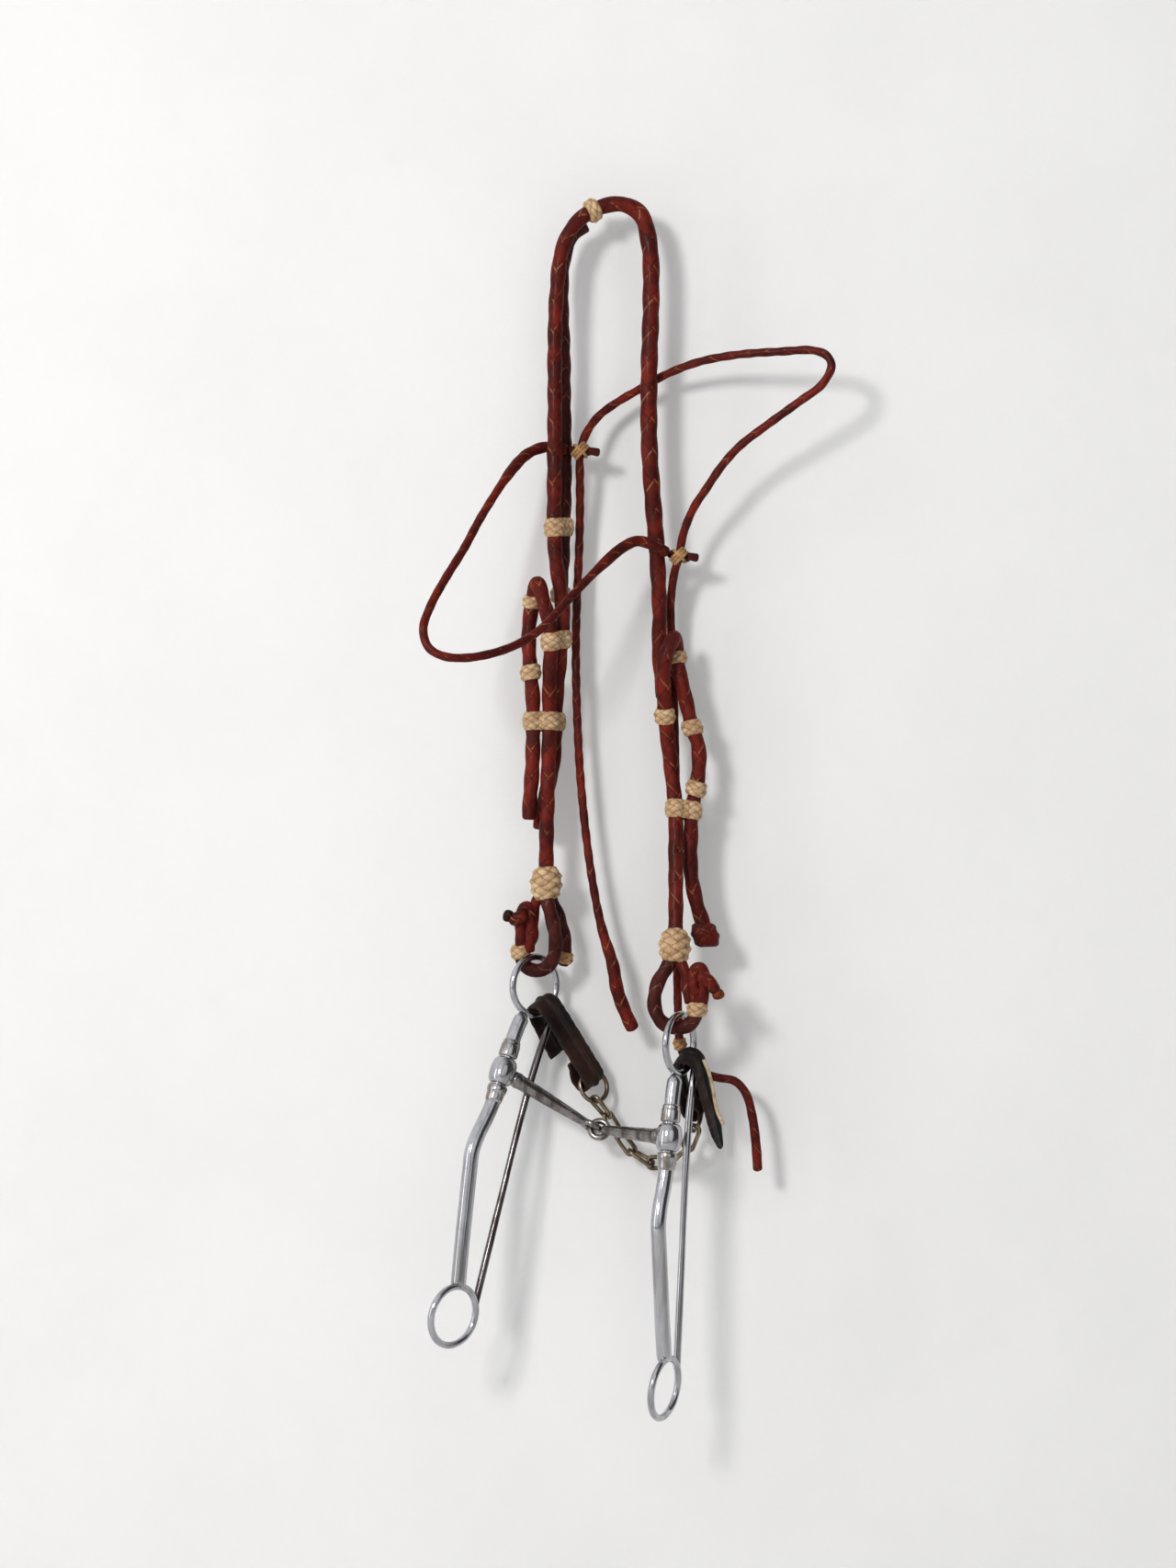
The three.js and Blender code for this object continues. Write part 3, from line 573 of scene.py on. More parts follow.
def leather(name, dark, light, worn):
    """Plaited leather with painted shade between its strands and a painted purplish sheen in patches;
    its cut edges are worn through to the tan inside.
    """
    n = Nodes(bpy.data.materials.new(name))
    across, tone = n.plait()
    patches = n.noise(70, 4)
    color = n.mix(n.ramp(patches, 0.35, 0.68), dark, light)
    color = n.tint(color, tone, 0.40, (58, 15, 12))
    # A painted purplish sheen, laid on in random patches.
    purple_sheen = n.ramp(n.noise(38, 2), 0.52, 0.72)
    color = n.tint(color, purple_sheen, 0.30, (70, 36, 36))
    # Painted shade: darker towards each strand's edges, where the strands dip between each other.
    edge = n.ramp(n.math("ABSOLUTE", across), 0.72, 1.0)
    color = n.tint(color, edge, 0.52, (22, 7, 7))
    # Only one edge of each strand is worn, and only here and there.
    rim = n.math("MULTIPLY", n.ramp(across, 0.66, 0.76), n.ramp(across, 0.94, 0.84))
    broken = n.ramp(n.noise(160, 2), 0.416, 0.66)
    color = n.tint(color, n.math("MULTIPLY", rim, broken), 0.70, worn)
    scuffs = n.ramp(n.noise(520, 3, 0.7), 0.62, 0.74)
    color = n.tint(color, scuffs, 0.22, worn)
    roughness = n.ramp(n.noise(130, 3), 0.3, 0.7, 0.40, 0.66)
    grain = n.bump(n.noise(1500, 3, 0.65), 0.00022, 0.5)
    normal = n.bump(n.noise(260, 3), 0.0006, 0.35, grain)
    return n.finish(color, roughness, normal, Specular_IOR_Level=0.08, Coat_Weight=0.05,
                    Coat_Roughness=0.2)


def rawhide_lace(name, dark, light):
    """Natural rawhide lace: tan, with painted shade between its turns, grimy in patches, paler where
    it has been rubbed.
    """
    n = Nodes(bpy.data.materials.new(name))
    across, tone = n.plait()
    color = n.mix(n.ramp(n.noise(220, 4), 0.32, 0.7), dark, light)
    color = n.tint(color, tone, 0.35, (160, 122, 84))
    # Painted shade: darker towards each turn's edges, in the grooves between the turns.
    edge = n.ramp(n.math("ABSOLUTE", across), 0.40, 1.0)
    color = n.tint(color, edge, 0.62, (96, 64, 42))
    grime = n.ramp(n.noise(120, 3), 0.55, 0.75)
    color = n.tint(color, grime, 0.35, (128, 92, 58))
    roughness = n.ramp(n.noise(300, 3), 0.3, 0.7, 0.48, 0.68)
    fibre = n.bump(n.noise(900, 4, 0.7, stretch=(1, 1, 0.35)), 0.0003, 0.5)
    return n.finish(color, roughness, fibre, Specular_IOR_Level=0.42)


def strap_leather():
    """Old dark strap leather: cracked and scuffed to brown, rougher than the plaits."""
    n = Nodes(bpy.data.materials.new("strap_leather"))
    color = n.mix(n.ramp(n.noise(60, 4), 0.36, 0.66), (16, 8, 6), (44, 24, 16))
    scuffs = n.ramp(n.noise(240, 5, 0.7), 0.56, 0.74)
    color = n.tint(color, scuffs, 0.25, (60, 38, 28))
    geometry = n.add("ShaderNodeNewGeometry")
    rubbed = n.ramp(geometry.outputs["Pointiness"], 0.52, 0.6)
    color = n.tint(color, rubbed, 0.45, (74, 46, 32))
    roughness = n.ramp(n.noise(140, 3), 0.3, 0.7, 0.42, 0.7)
    grain = n.bump(n.noise(900, 3, 0.65), 0.0003, 0.6)
    normal = n.bump(n.noise(180, 4), 0.0012, 0.4, grain)
    return n.finish(color, roughness, normal, Specular_IOR_Level=0.22)


def metal(name, bright, dull, stain, stained, smooth, rough):
    """Old plated steel: mirror bright where it is rubbed, dull and brown where it isn't."""
    n = Nodes(bpy.data.materials.new(name))
    # What wears it runs up and down its bars, so its clouds are drawn out that way.
    cloud = n.noise(210, 4, stretch=(1, 1, 0.14))
    color = n.mix(n.ramp(cloud, 0.35, 0.65), bright, dull)
    patches = n.ramp(n.noise(240, 5, 0.68, (1, 1, 0.3), 0.6), 0.64 - 0.14 * stained, 0.84)
    color = n.tint(color, patches, 0.6, stain)
    pits = n.ramp(n.noise(900, 3, 0.7), 0.64, 0.74)
    color = n.tint(color, pits, 0.35, stain)
    roughness = n.math("ADD", n.ramp(cloud, 0.35, 0.7, smooth, rough),
                       n.math("MULTIPLY", patches, 0.25))
    wear = n.bump(n.noise(700, 4, 0.65), 0.00006, 0.15 + 0.2 * stained)
    normal = n.bump(n.noise(90, 2), 0.0004, 0.05 * stained, wear)
    return n.finish(color, roughness, normal, Metallic=1.0)


def lace_hide():
    n = Nodes(bpy.data.materials.new("lace_hide"))
    color = n.mix(n.ramp(n.noise(300, 3), 0.35, 0.7), (206, 188, 158), (160, 136, 104))
    return n.finish(color, 0.62, n.bump(n.noise(1200, 3), 0.0002, 0.5))


def wall_paint():
    """Pale matt plaster that is seen only from its front."""
    n = Nodes(bpy.data.materials.new("wall_paint"))
    color = n.mix(n.ramp(n.noise(9, 4), 0.3, 0.7), (229, 229, 229), (232, 232, 232))
    from_behind = n.add("ShaderNodeNewGeometry").outputs["Backfacing"]
    n.show("Material Output", from_behind, n.tree.nodes["Principled BSDF"],
           n.add("ShaderNodeBsdfTransparent"))
    normal = n.bump(n.noise(260, 5, 0.7), 0.0006, 0.25)
    return n.finish(color, 0.9, normal, Specular_IOR_Level=0.1)


def floor_paint():
    n = Nodes(bpy.data.materials.new("floor_paint"))
    color = n.mix(n.ramp(n.noise(6, 3), 0.3, 0.7), (221, 220, 219), (225, 224, 223))
    return n.finish(color, 0.85)


RED_LEATHER = leather("red_leather", (64, 15, 11), (112, 30, 19), (150, 92, 56))
DARK_LEATHER = leather("dark_leather", (42, 14, 13), (76, 30, 25), (120, 78, 54))
TAN_TIP = leather("tan_tip", (112, 48, 22), (158, 84, 40), (186, 120, 66))
DARK_TIP = leather("dark_tip", (26, 11, 11), (46, 20, 18), (130, 72, 36))
RAWHIDE = rawhide_lace("rawhide_lace", (166, 130, 90), (212, 182, 142))
OLD_RAWHIDE = rawhide_lace("old_rawhide_lace", (136, 92, 50), (184, 142, 92))
STRAP_HIDE = strap_leather()
LACE_HIDE = lace_hide()
BIT_STEEL = metal("bit_steel", (186, 187, 193), (162, 161, 163), (84, 68, 54), 0.10, 0.07, 0.15)
COLLAR_STEEL = metal("collar_steel", (184, 182, 184), (140, 132, 124), (74, 54, 38), 0.95, 0.10, 0.24)
ROD_STEEL = metal("rod_steel", (112, 108, 108), (70, 64, 62), (50, 38, 32), 0.4, 0.14, 0.28)
BAR_STEEL = metal("bar_steel", (146, 142, 140), (92, 86, 82), (52, 40, 34), 0.8, 0.20, 0.40)
CHAIN_STEEL = metal("chain_steel", (156, 140, 118), (94, 80, 64), (44, 32, 24), 0.9, 0.20, 0.40)

# ---------- camera ----------

camera_data = bpy.data.cameras.new("camera")
camera_data.sensor_fit = "VERTICAL"
camera_data.sensor_height = 36.0
camera_data.lens = 84.4
camera = bpy.data.objects.new("camera", camera_data)
camera.location = (-0.010, -2.0, -0.3085)
camera.rotation_euler = (math.pi / 2, 0, 0)
scene.collection.objects.link(camera)
scene.camera = camera

# ---------- the two free cords ----------


def throatlatch_swell(share):
    """The long tail is plaited thicker towards its end, and rounded off there."""
    rise = np.clip((0.075 - share) / 0.05, 0, 1)
    return 1 + 0.58 * rise * rise * (3 - 2 * rise) + 0.14 * np.clip((share - 0.95) / 0.04, 0, 1)


def browband_swell(share):
    """Both ends are doubled back and plaited in, so that they are thicker."""
    near_end = np.minimum(share, 1 - share)
    rise = np.clip((0.17 - near_end) / 0.05, 0, 1)
    return 1 + 0.30 * rise * rise * (3 - 2 * rise)


cord_paths = {}
for name, points, swell, far_end in (
    ("throatlatch", THROATLATCH, throatlatch_swell, "bare"),
    ("browband", BROWBAND, browband_swell, "object"),
):
    parts, cord_paths[name] = braided(points, CORD, 0.0105, around=24, relief=0.0003, swell=swell,
                                      rounding=0.7)
    cord = piece(name + "_cord", parts, RED_LEATHER, HEADSTALL, "braided_leather", name)

# ---------- headstall: the ropes ----------

# Where the strands below each big knot start, inside it.
IN_LEFT_BUTTON = (-0.0325, -0.0005, -0.3655)
IN_RIGHT_BUTTON = (0.0365, -0.0185, -0.3995)
# Each strand's route, radius, leather and length of lay.
ROPES = {
    "crown_rope": (CROWN, ROPE, RED_LEATHER, 0.0165),
    "crown_lining_strand": (CROWN_LINING, LINING, DARK_LEATHER, 0.0150),
    "left_cheek_rope": (LEFT_CHEEK, ROPE, RED_LEATHER, 0.0150),
    "right_cheek_rope": (RIGHT_CHEEK, ROPE, RED_LEATHER, 0.0150),
    "left_bit_loop": ([IN_LEFT_BUTTON, *LEFT_LOOP], LINING, DARK_LEATHER, 0.0125),
    "right_bit_loop": ([IN_RIGHT_BUTTON, *RIGHT_LOOP], LINING, DARK_LEATHER, 0.0125),
    "left_loop_leg": ([IN_LEFT_BUTTON, *LEFT_LEG, (-0.0425, 0.0075, -0.3975)], BUTTON_CORD,
                      RED_LEATHER, 0.0120),
    "right_loop_leg": ([IN_RIGHT_BUTTON, *RIGHT_LEG, (0.0452, -0.022, -0.4265)], BUTTON_CORD,
                       RED_LEATHER, 0.0120),
    "left_loop_back_strand": ([IN_LEFT_BUTTON, *BACK_STRAND], BUTTON_CORD, DARK_LEATHER, 0.0120),
}


def crown_swell(share):
    """The crown is at its thickest down its right side, past the arch."""
    return 1 + 0.14 * np.clip((share - 0.54) / 0.05, 0, 1) * np.clip((0.93 - share) / 0.08, 0, 1)


rope_paths = {}
for seed, (name, (points, radius, material, lay_length)) in enumerate(ROPES.items()):
    swell = crown_swell if name == "crown_rope" else None
    parts, rope_paths[name] = braided(points, radius, lay_length, seed=seed, swell=swell)
    piece(name + "_plait", parts, material, HEADSTALL, "braided_leather", name)

# ---------- headstall: the rawhide knots ----------


def knot(name, strands, height, wall, body=HEADSTALL, material=RAWHIDE, slot="rawhide", **shape):
    """A knot or keeper of the model, woven round its strands."""
    piece(name + "_weave", woven_wrap(strands, height, wall, **shape), material, body, slot, name)


KNOT = (0.0084, 0.0019)  # height and wall
BIGHT_KNOT = (0.0068, 0.0017)
LOOP_KNOT = (0.0078, 0.0020)
crown, lining = rope_paths["crown_rope"], rope_paths["crown_lining_strand"]
left_cheek, right_cheek = rope_paths["left_cheek_rope"], rope_paths["right_cheek_rope"]
left_loop, right_loop = rope_paths["left_bit_loop"], rope_paths["right_bit_loop"]
# Each knot's strand and radius, its height, whether that is where the strand passes it last,
# and its size.
KNOTS = [
    ("crown_end_knot", lining, LINING, -0.205, False, KNOT),
    ("left_bight_knot", left_cheek, ROPE, -0.209, False, BIGHT_KNOT),
    ("left_tail_knot", left_cheek, ROPE, -0.248, False, KNOT),
    ("right_bight_knot", right_cheek, ROPE, -0.240, False, BIGHT_KNOT),
    ("right_upper_tail_knot", right_cheek, ROPE, -0.278, False, KNOT),
    ("right_lower_tail_knot", right_cheek, ROPE, -0.311, False, KNOT),
    ("right_cheek_knot", right_cheek, ROPE, -0.2715, True, KNOT),
    ("left_loop_knot", left_loop, LINING, -0.3998, True, LOOP_KNOT),
    ("right_loop_knot", right_loop, LINING, -0.4296, True, LOOP_KNOT),
]
for seed, (name, path, radius, z, last, size) in enumerate(KNOTS):
    knot(name, [(*at_height(path, z, last), radius)], *size, tilt=0.0005, seed=seed)

knot("crown_top_knot", [(*at_height(crown, 0.0035), ROPE)], 0.0072, 0.0027, tilt=0.0008, seed=3.3)

# Each keeper's height, its strands, each with its radius and whether it's the last time that the
# strand passes there, and the body that it slides with.
KEEPERS = {
    "crown_keeper": (-0.169, [(crown, ROPE, False), (lining, LINING, False)], "crown_keeper_body"),
    "left_upper_keeper": (-0.2305, [(left_cheek, ROPE, True), (crown, ROPE, False)], HEADSTALL),
    "left_wide_keeper": (-0.2745, [(left_cheek, ROPE, False), (left_cheek, ROPE, True),
                                   (crown, ROPE, False)], "left_keeper_body"),
    "right_wide_keeper": (-0.3225, [(right_cheek, ROPE, False), (right_cheek, ROPE, True)],
                          "right_keeper_body"),
}
for seed, (name, (z, held, body)) in enumerate(KEEPERS.items()):
    strands = [(*at_height(path, z, last), radius) for path, radius, last in held]
    knot(name, strands, 0.0102, 0.0019, body, tilt=0.0006, seed=seed + 0.7, belly=0.75)

BUTTONS = {"left_button_knot": (left_cheek, -0.3625), "right_button_knot": (right_cheek, -0.396)}
for seed, (name, (path, z)) in enumerate(BUTTONS.items()):
    knot(name, [(*at_height(path, z, True), ROPE)], 0.0184, 0.0050, cell=0.0054, relief=0.0022,
         tilt=0.0004, seed=seed + 2.1, belly=0.9)

knot("right_stopper_knot", [(np.array([0.0537, -0.003, -0.3905]), unit([0.3, 0, -1]), ROPE)],
     0.0135, 0.0034, material=RED_LEATHER, slot="braided_leather", cell=0.0056, relief=0.0012,
     tilt=0.0010, seed=5.0, belly=0.8)

# ---------- headstall: eyes, buttons and the small knots that only show here ----------


def model_ring(node):
    """The centre of a ring or link of the model, its three axes, longest first, and its points."""
    mesh = frame["nodes"][node].data
    points = np.empty(len(mesh.vertices) * 3)
    mesh.vertices.foreach_get("co", points)
    points = np.unique(np.round(points.reshape(-1, 3), 6), axis=0)
    centre = points.mean(axis=0)
    return centre, np.linalg.svd(points - centre, full_matrices=False)[2], points


SIDES = ("left", "right")
BROW_EYE = 0.0049
BROW_EYE_CORD = 0.0019
# The cord's end past the throatlatch, as steps to the right and to the front.
BROW_STUB = metres([(4.2, -3.6), (6.2, -3.4), (8.2, -2.8), (10.5, -2.4)])
LASH = 0.0009
LASH_REACH = 0.0045
LASH_DEPTH = 0.0076
LASH_SLANT = np.array([0.72, 0, 0.69])
# Each turn of the lashing: which way it slants, and how far along it is.
LASH_TURNS = [(1, -0.0017), (1, 0.0), (1, 0.0017), (-1, 0.0)]
for side in SIDES:
    centre, (_, _, normal), _ = model_ring(f"browband_{side}_eye")
    normal = unit(normal)
    first, second = across_axis(normal, [0.1, 0.2, 1])
    angle = round_angles(96)
    turn = centre + BROW_EYE * (np.cos(angle) * first + np.sin(angle) * second)
    stub, _ = braided([centre + np.array([x, y, -0.0004 * k]) for k, (x, y) in enumerate(BROW_STUB)],
                      0.0023, 0.0105)
    ring = round_bar(turn, BROW_EYE_CORD, 18, first=normal, closed=True)
    piece(f"browband_{side}_eye_cord", join([ring, stub]), DARK_LEATHER, HEADSTALL,
          "braided_leather", f"browband_{side}_eye")
    # Rawhide lace lashed slantwise round the eye and the throatlatch, once the other way.
    lashing = []
    for slope, shift in LASH_TURNS:
        along = unit(LASH_SLANT * (1, 1, slope))
        off = np.array([-LASH_SLANT[2] * slope, 0, LASH_SLANT[0]]) * shift
        turn = (centre + off + LASH_REACH * np.cos(angle) * along
                + (LASH_DEPTH + 0.0006 * (slope < 0)) * np.sin(angle) * np.array([0, 1, 0]))
        lashing.append(round_bar(turn, LASH, 12, first=np.cross(along, [0, 1, 0]), closed=True))
    piece(f"browband_{side}_lashing", join(lashing), OLD_RAWHIDE, HEADSTALL, "rawhide",
          f"browband_{side}_knot")

# A leather toggle at each loop's free end: the strand comes up out of its knot, folds over
# and goes down again beside itself, and its short tail is pulled through and stands out.
TOGGLES = {
    "left": {
        "rib": metres([(-46.2, 7.8, -400.5), (-46.6, 6.2, -392), (-46.8, 4.2, -383),
                        (-45.2, 2.8, -376.2), (-42.8, 2.4, -375.5), (-41.2, 3.4, -381),
                        (-41.4, 5, -391), (-42.4, 7, -400)]),
        "stub": metres([(-43.2, -0.8, -380), (-46.6, -1.6, -380.8), (-50.2, -1, -382.2),
                        (-52.2, -0.2, -381.8)]),
        "tip": metres([(-51.8, -0.3, -377.5), (-53, 0, -380), (-53, 0.4, -383.5)]),
    },
    "right": {
        "rib": metres([(48.2, -23.6, -429), (47.4, -24.2, -421), (46.8, -24.2, -413.5),
                        (48, -24.4, -407.8), (50.6, -24.8, -407.2), (52.4, -25.2, -412),
                        (52, -25, -421), (50.8, -24.2, -427.5)]),
        "stub": metres([(49, -29, -411.2), (52.8, -30, -412.8), (56.2, -29.6, -416),
                        (58.8, -28.4, -420)]),
        "tip": metres([(58.4, -28.7, -418.8), (60, -28, -421.6), (60.8, -27.6, -423.8)]),
    },
}
TOGGLE_CORD = 0.0034
TOGGLE_STUB = 0.0037
TOGGLE_TIPS = {"left": DARK_TIP, "right": TAN_TIP}
for side, toggle in TOGGLES.items():
    rib, _ = braided(toggle["rib"], TOGGLE_CORD, 0.0120, seed=9)
    stub, _ = braided(toggle["stub"], TOGGLE_STUB, 0.0110, seed=10, rounding=0.6)
    piece(f"{side}_toggle_plait", join([rib, stub]), RED_LEATHER, HEADSTALL, "braided_leather",
          f"{side}_loop_button")
    tip, _ = braided(toggle["tip"], TOGGLE_CORD, 0.0100, seed=11, rounding=0.6)
    piece(f"{side}_toggle_tip", tip, TOGGLE_TIPS[side], HEADSTALL, "braided_leather")

EXTRA_KNOTS = {
    "left_back_strand_knot": (rope_paths["left_loop_back_strand"], BUTTON_CORD, -0.4035),
    "throatlatch_tail_knot": (cord_paths["throatlatch"], CORD, -0.4495),
}
for name, (path, radius, z) in EXTRA_KNOTS.items():
    weave = woven_wrap([(*at_height(path, z, True), radius)], 0.0066, 0.0016, cell=0.0034, seed=1.0)
    piece(name, weave, OLD_RAWHIDE, HEADSTALL, "rawhide")

# ---------- bit: the shanks ----------

# Each shank is a flat frame: its x runs from the tube to the guard rod, and its z up the
# stem on which the bar turns. The joint that turns the shank gives its place and its axis.
JOINTS = {joint["name"]: joint for joint in frame["joints"]}
RING_AT = (0.003, 0.051)
TUBE_ROUTE = metres([
    (1.4, 33.5), (0.4, 26), (0, 18), (0, 6), (0, -8), (0, -19), (-1.2, -28), (-3, -38), (-3.2, -47),
    (-0.4, -58), (4.6, -76), (10.2, -96), (16.6, -117.4),
])
ROD_ROUTE = metres([
    (31.6, -121.5), (28.4, -88), (25.9, -60), (23.3, -32), (21.4, -6), (20.6, 16), (21, 32),
    (21.5, 44.5), (19.5, 50),
])
REIN_RING_LEAN = np.array([0, -0.05, 0.12])  # how the rein rings lean out of their shanks


def shank_frame(side):
    """A shank's origin on its stem, its x, which runs out to the guard rod, and its z."""
    joint = JOINTS[f"{side}_shank_turn"]
    up = unit(joint["axis"])
    level = math.hypot(up[0], up[1])
    out = np.array([up[0] / level * up[2], up[1] / level * up[2], -level])
    return np.array(joint["pos_m"]), out, up


def in_shank(side, route):
    """Points of a shank's flat frame as points of the model."""
    origin, out, up = shank_frame(side)
    return [origin + x * out + z * up for x, z in route]


# Rows of (radius, height) on the stem: above the bar a plain collar, below it a stepped one.
UPPER_COLLAR = metres([
    (3.8, 8.2), (5, 8.4), (5.3, 9.2), (5.2, 14.8), (4.8, 15.6), (4.8, 16.8), (4.4, 17.8), (3, 18),
])
LOWER_COLLAR = metres([
    (3, -17.6), (4.4, -17.4), (4.7, -16), (4.9, -12.4), (5.4, -11.4), (5.5, -8.8), (5, -8.1),
    (3.8, -7.9),
])
EDGE = 0.0004  # the bevel on the collars' edges


def tube_radius(share):
    """The stem is drawn in where it meets the ring, and the foot a little where it is cut."""
    neck = np.clip(share / 0.018, 0, 1)
    foot = np.clip((1 - share) / 0.02, 0, 1)
    return TUBE * (0.66 + 0.34 * neck * neck * (3 - 2 * neck)) * (0.86 + 0.14 * np.sqrt(foot))


for side in SIDES:
    origin, _, up = shank_frame(side)
    steel = {}
    path, at = smooth_route(in_shank(side, TUBE_ROUTE), 0.0012)
    steel["shank_tube"] = round_bar(path, tube_radius(at / at[-1]), 40)
    path, at = smooth_route(in_shank(side, ROD_ROUTE), 0.0012)
    steel["guard_rod"] = round_bar(path, WIRE * (1 + 0.06 * np.sin(at * 60)), 24)
    for ring, radius in (("cheek_ring", CHEEK_RING), ("rein_ring", REIN_RING)):
        centre, (_, _, normal), _ = model_ring(f"{side}_{ring}")
        if ring == "rein_ring":
            normal = unit(normal * math.copysign(1, -normal[0]) + REIN_RING_LEAN)
        steel[ring] = torus(centre, normal, radius, WIRE)
    steel["upper_collar"] = turned(UPPER_COLLAR, origin, up, bevel=EDGE)
    steel["lower_collar"] = turned(LOWER_COLLAR, origin, up, bevel=EDGE)
    for node, parts in steel.items():
        material = COLLAR_STEEL if node.endswith("collar") else BIT_STEEL
        if (side, node) == ("left", "guard_rod"):
            material = ROD_STEEL
        piece(f"{side}_{node}_steel", parts, material, f"{side}_shank", "bit_steel",
              f"{side}_{node}")

# ---------- bit: the jointed mouthpiece ----------

SLEEVE = metres([
    (4.4, -7.3), (5, -7.3), (6, -6.2), (6.7, -4.4), (7, -2.2), (7.1, 0), (7, 2.2), (6.7, 4.4),
    (6, 6.2), (5, 7.3), (4.4, 7.3),
])
mouth_joint = np.array(JOINTS["mouth_fold"]["pos_m"])
towards = {side: unit(shank_frame(side)[0] - mouth_joint) for side in SIDES}
between = unit(towards["right"] - towards["left"])
left_eye_axis = unit(np.cross(between, towards["left"]))
eye_axes = {"left": left_eye_axis, "right": unit(np.cross(between, left_eye_axis))}
IN_EYE = 0.0012  # how far the bar's end reaches into its eye's wire
TO_SLEEVE = 0.0065  # from the stem to where the bar ends in its sleeve
for side, toward in (("left", -0.5), ("right", 0.5)):
    origin, _, up = shank_frame(side)
    eye_at = mouth_joint + between * toward * EYE
    direction = unit(origin - eye_at)
    start = eye_at + direction * (EYE - IN_EYE)
    share = np.linspace(0, 1, 50)
    path = start + (origin - direction * TO_SLEEVE - start) * share[:, None]
    # The bar swells evenly from its eye to a shoulder at the sleeve.
    thick = 0.0024 + 0.0017 * share * (1.6 - 0.6 * share)
    thick += 0.0005 * np.exp(-((share - 0.93) / 0.02) ** 2)
    bar = join([round_bar(path, thick, 32), torus(eye_at, eye_axes[side], EYE, EYE_WIRE, 48)])
    piece(f"mouthpiece_{side}_bar", bar, BAR_STEEL, f"{side}_bar", "bit_steel",
          f"mouthpiece_{side}")
    piece(f"mouthpiece_{side}_sleeve", turned(SLEEVE, origin, up, 48), BIT_STEEL, f"{side}_bar",
          "bit_steel")

# ---------- curb: the strap ends ----------

RING_ANGLE = math.radians(-38)  # where each strap sits on its headstall ring
STRAPS = {
    "left": {"along": (27, 4, -42.2), "fold_at": 0.0432, "face": 1, "point": 0.0, "wide": 0.0150,
             "tail": [(0.025, -0.010), (0.012, -0.0086)]},
    "right": {"along": (3, 15, -21), "fold_at": 0.030, "face": -1, "point": 0.022, "wide": 0.0134,
              "tail": [(0.057, -0.0128), (0.030, -0.0096), (0.014, -0.0074)]},
}


def arc(centre, radius, start, end, count):
    angles = np.radians(np.linspace(start, end, count + 1))
    return [(centre + radius * math.cos(a), radius * math.sin(a)) for a in angles]


# A worn strap has a long crease, which stands up as a ridge off its middle.
CREASE_AT = 0.0014
CREASE = 0.0011
# How the end of the strap comes back from the curb ring, closing up on the strap.
FOLD_RETURN = metres([(3.5, 0.8), (7.5, 3.5), (12, 6)])


def strap_mesh(side):
    """A flat strap folded round the headstall ring and round the curb ring."""
    shape = STRAPS[side]
    fold_at = shape["fold_at"]
    outer, inner = RING_FOLD + STRAP / 2, CURB_FOLD + STRAP / 2
    route = [*shape["tail"], *arc(0, outer, -90, -270, 8), (fold_at * 0.35, outer - 0.0002),
             (fold_at * 0.7, inner + 0.0006), *arc(fold_at, inner, 90, -90, 6),
             *((fold_at - back, rise - inner) for back, rise in FOLD_RETURN)]
    origin, out, up = shank_frame(side)
    on_ring = (RING_AT[0] + CHEEK_RING * math.cos(RING_ANGLE),
               RING_AT[1] + CHEEK_RING * math.sin(RING_ANGLE))
    centre = origin + on_ring[0] * out + on_ring[1] * up
    along = unit(shape["along"])
    wire = -math.sin(RING_ANGLE) * out + math.cos(RING_ANGLE) * up
    width = unit(wire - along * (wire @ along))
    face = np.cross(along, width)
    points = [centre + a * along + b * shape["face"] * face for a, b in route]
    path, at = smooth_route(points, 0.0006)
    tangent = unit(np.gradient(path, axis=0))
    normal = np.cross(tangent, width)
    # Round the strap's section: a flat oblong with eased corners.
    place = np.sin(np.linspace(-math.pi / 2, math.pi / 2, 36))
    rise = (1 - np.abs(place) ** 9) ** 0.4
    across = np.concatenate([-place, place[1:-1]]) * shape["wide"] / 2
    deep = np.concatenate([rise, -rise[1:-1]]) * STRAP / 2
    ends = np.minimum(at, at[-1] - at)
    close = 0.55 + 0.45 * np.sqrt(1 - (1 - np.clip(ends / 0.0012, 0, 1)) ** 2)
    narrow = np.ones(len(at))
    if shape["point"]:
        narrow = 0.16 + 0.84 * np.sin(math.pi / 2 * np.clip(at / shape["point"], 0, 1)) ** 0.8
    ripple = 1 + 0.03 * np.sin(at * 900) * np.sin(at * 310 + 1)
    wide = (narrow * ripple)[:, None, None] * across[None, :, None]
    thick = close[:, None, None] * deep[None, :, None]
    ridge = CREASE * np.exp(-((across - CREASE_AT) / CREASE) ** 2)[None, :, None]
    return skin(path[:, None] + wide * width + (thick + ridge) * normal[:, None])


for side in SIDES:
    piece(f"{side}_curb_strap_hide", strap_mesh(side), STRAP_HIDE, "curb", "strap_leather",
          f"{side}_curb_strap")
    centre, (_, _, normal), _ = model_ring(f"{side}_curb_ring")
    piece(f"{side}_curb_ring_wire", torus(centre, normal, CURB_RING, CURB_WIRE), CHAIN_STEEL,
          "curb", "chain_steel", f"{side}_curb_ring")

lace_path, _ = smooth_route(LACE, 0.0005)
lace = piece("curb_lace_hide", round_bar(lace_path, LACE_RADIUS * 0.98, 14), LACE_HIDE, "curb",
             "rawhide", "curb_lace")

# ---------- curb: the chain ----------

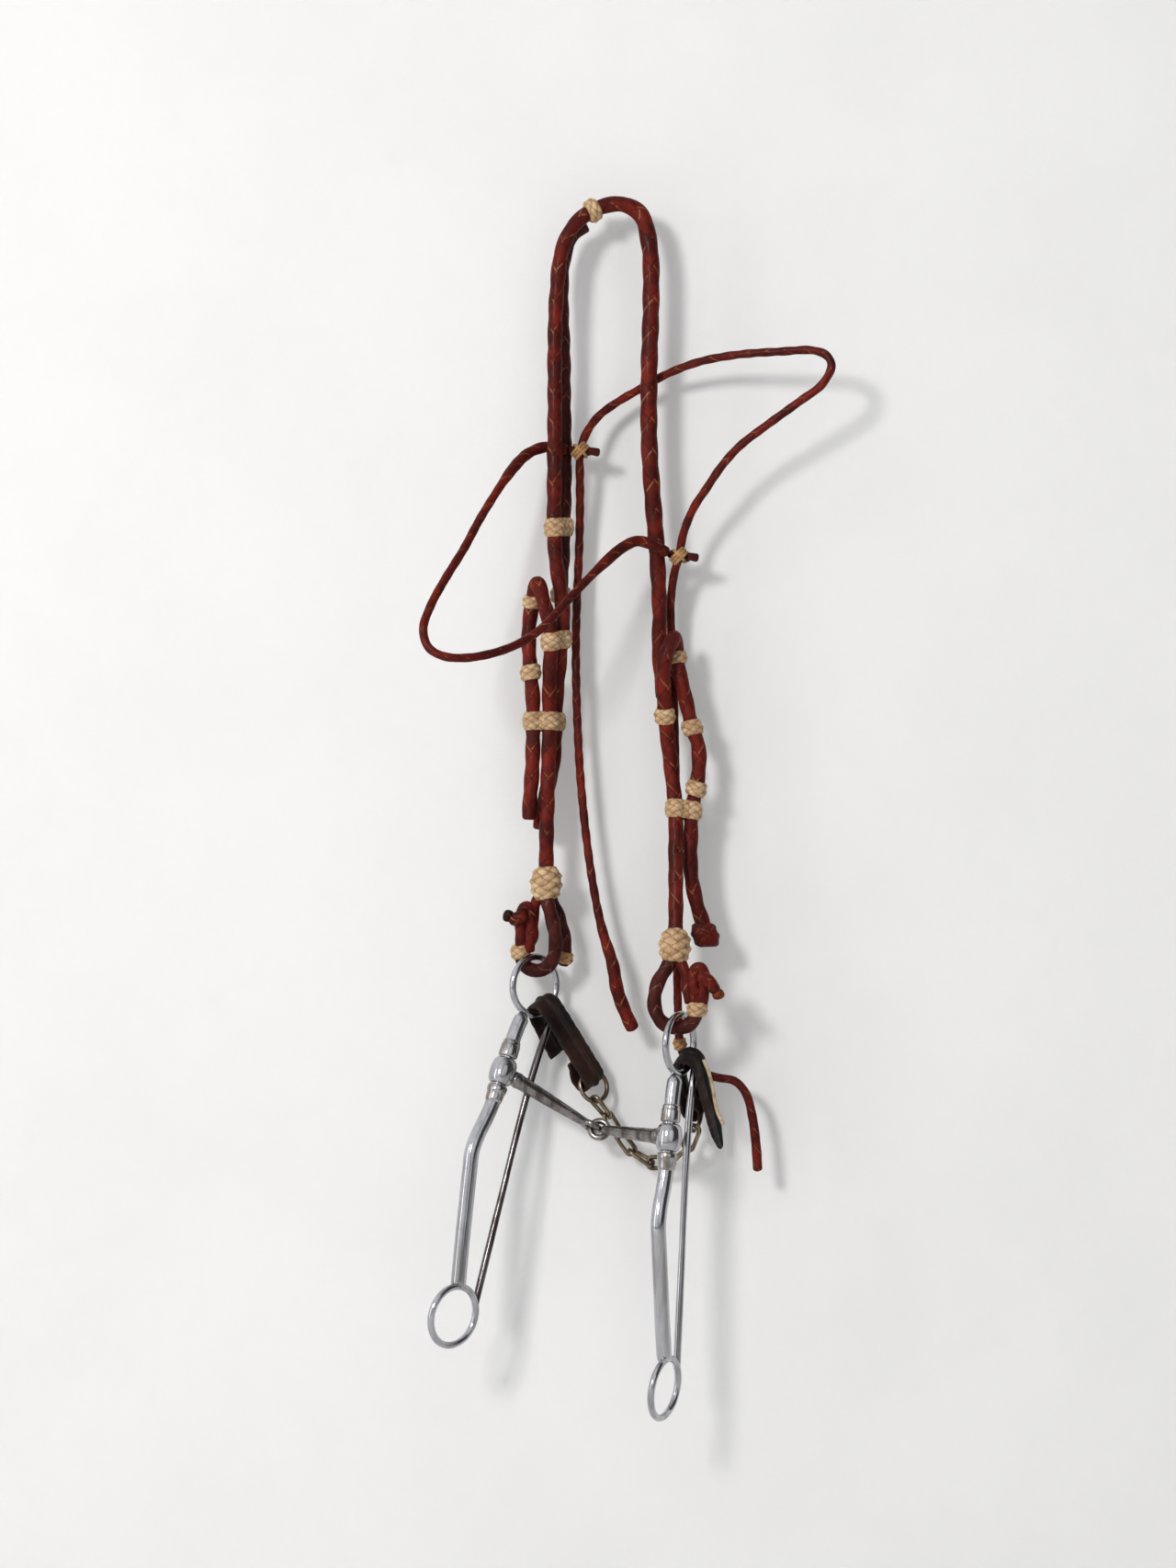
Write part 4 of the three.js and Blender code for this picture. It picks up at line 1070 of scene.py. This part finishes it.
LINKS = 7
TWIST = 0.0005  # a curb chain's links are twisted, so that they lie flat on each other
for number in range(1, LINKS + 1):
    node = f"chain_link_{number}"
    middle, (long_axis, wide_axis, thin_axis), points = model_ring(node)
    half_long = np.abs((points - middle) @ long_axis).max() - LINK_WIRE
    half_wide = np.abs((points - middle) @ wide_axis).max() - LINK_WIRE
    angle = round_angles(72)
    x = half_wide * np.cos(angle) + (half_long - half_wide) * np.clip(4 * np.cos(angle), -1, 1)
    path = (middle + x * long_axis + half_wide * np.sin(angle) * wide_axis
            + TWIST * np.sin(2 * angle) * thin_axis)
    wire = round_bar(path, LINK_WIRE, 16, first=thin_axis, closed=True)
    piece(node + "_wire", wire, CHAIN_STEEL, "chain", "chain_steel", node)

# ---------- wall, floor and light ----------

WALL_GAP = 0.004
WALL_TOP = 1.6
WALL_SIDE = 2.2  # half its width
FLOOR_Z = -0.80
FLOOR_SIDE = 6
wall_y = float(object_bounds()[1][1]) + WALL_GAP


def stage_plane(name, material, corners):
    link_object(name, np.array(corners, float), [list(range(4))], None, material)


stage_plane("wall", wall_paint(), [
    (-WALL_SIDE, wall_y, FLOOR_Z), (WALL_SIDE, wall_y, FLOOR_Z), (WALL_SIDE, wall_y, WALL_TOP),
    (-WALL_SIDE, wall_y, WALL_TOP),
])
stage_plane("floor", floor_paint(), [
    (x * FLOOR_SIDE, y * FLOOR_SIDE, FLOOR_Z) for x, y in ((-1, -1), (1, -1), (1, 1), (-1, 1))
])


def area_light(name, at, aim, size, watts, tint=(1, 1, 1), height=None):
    """A round soft light, or an upright oblong one where a height is given."""
    data = bpy.data.lights.new(name, "AREA")
    data.shape = "RECTANGLE" if height else "DISK"
    data.size = size
    if height:
        data.size_y = height
    data.energy = watts
    data.color = tint
    obj = bpy.data.objects.new(name, data)
    back = unit(np.array(at) - np.array(aim))
    obj.location = at
    yaw = math.atan2(back[0], -back[1])
    obj.rotation_euler = (math.acos(back[2]), 0, yaw)
    scene.collection.objects.link(obj)


AIM = (0, 0, -0.32)
area_light("key", (-0.95, -1.95, 0.45), AIM, 0.40, 24, (1.0, 0.99, 0.97))
area_light("fill", (0.9, -2.2, 0.2), AIM, 1.6, 4)
area_light("back", (1.0, 1.8, 0.9), AIM, 1.2, 18)
area_light("strip", (-1.35, -0.75, -0.35), AIM, 0.14, 2.4, height=1.5)


def studio_world():
    """A room that is bright up to the left in front, as from a window, and dark elsewhere."""
    n = Nodes(bpy.data.worlds.new("studio"))
    facing = n.add("ShaderNodeVectorMath", operation="DOT_PRODUCT")
    n.put(facing.inputs[0], n.places["Generated"])
    facing.inputs[1].default_value = tuple(unit([-0.75, -0.45, 0.48]))
    lit = n.tree.nodes["Background"]
    lit.inputs["Color"].default_value = (0.99, 0.99, 1.0, 1)
    n.put(lit.inputs["Strength"], n.ramp(facing.outputs["Value"], 0.0, 0.95, 0.08, 1.0))
    # Seen directly, past the wall or the floor, the room is plain and pale.
    seen = n.add("ShaderNodeBackground")
    seen.inputs["Color"].default_value = shade(232, 232, 232)
    direct = n.add("ShaderNodeLightPath").outputs["Is Camera Ray"]
    n.show("World Output", direct, lit, seen)
    return n.owner


scene.world = studio_world()
scene.view_settings.view_transform = "Standard"
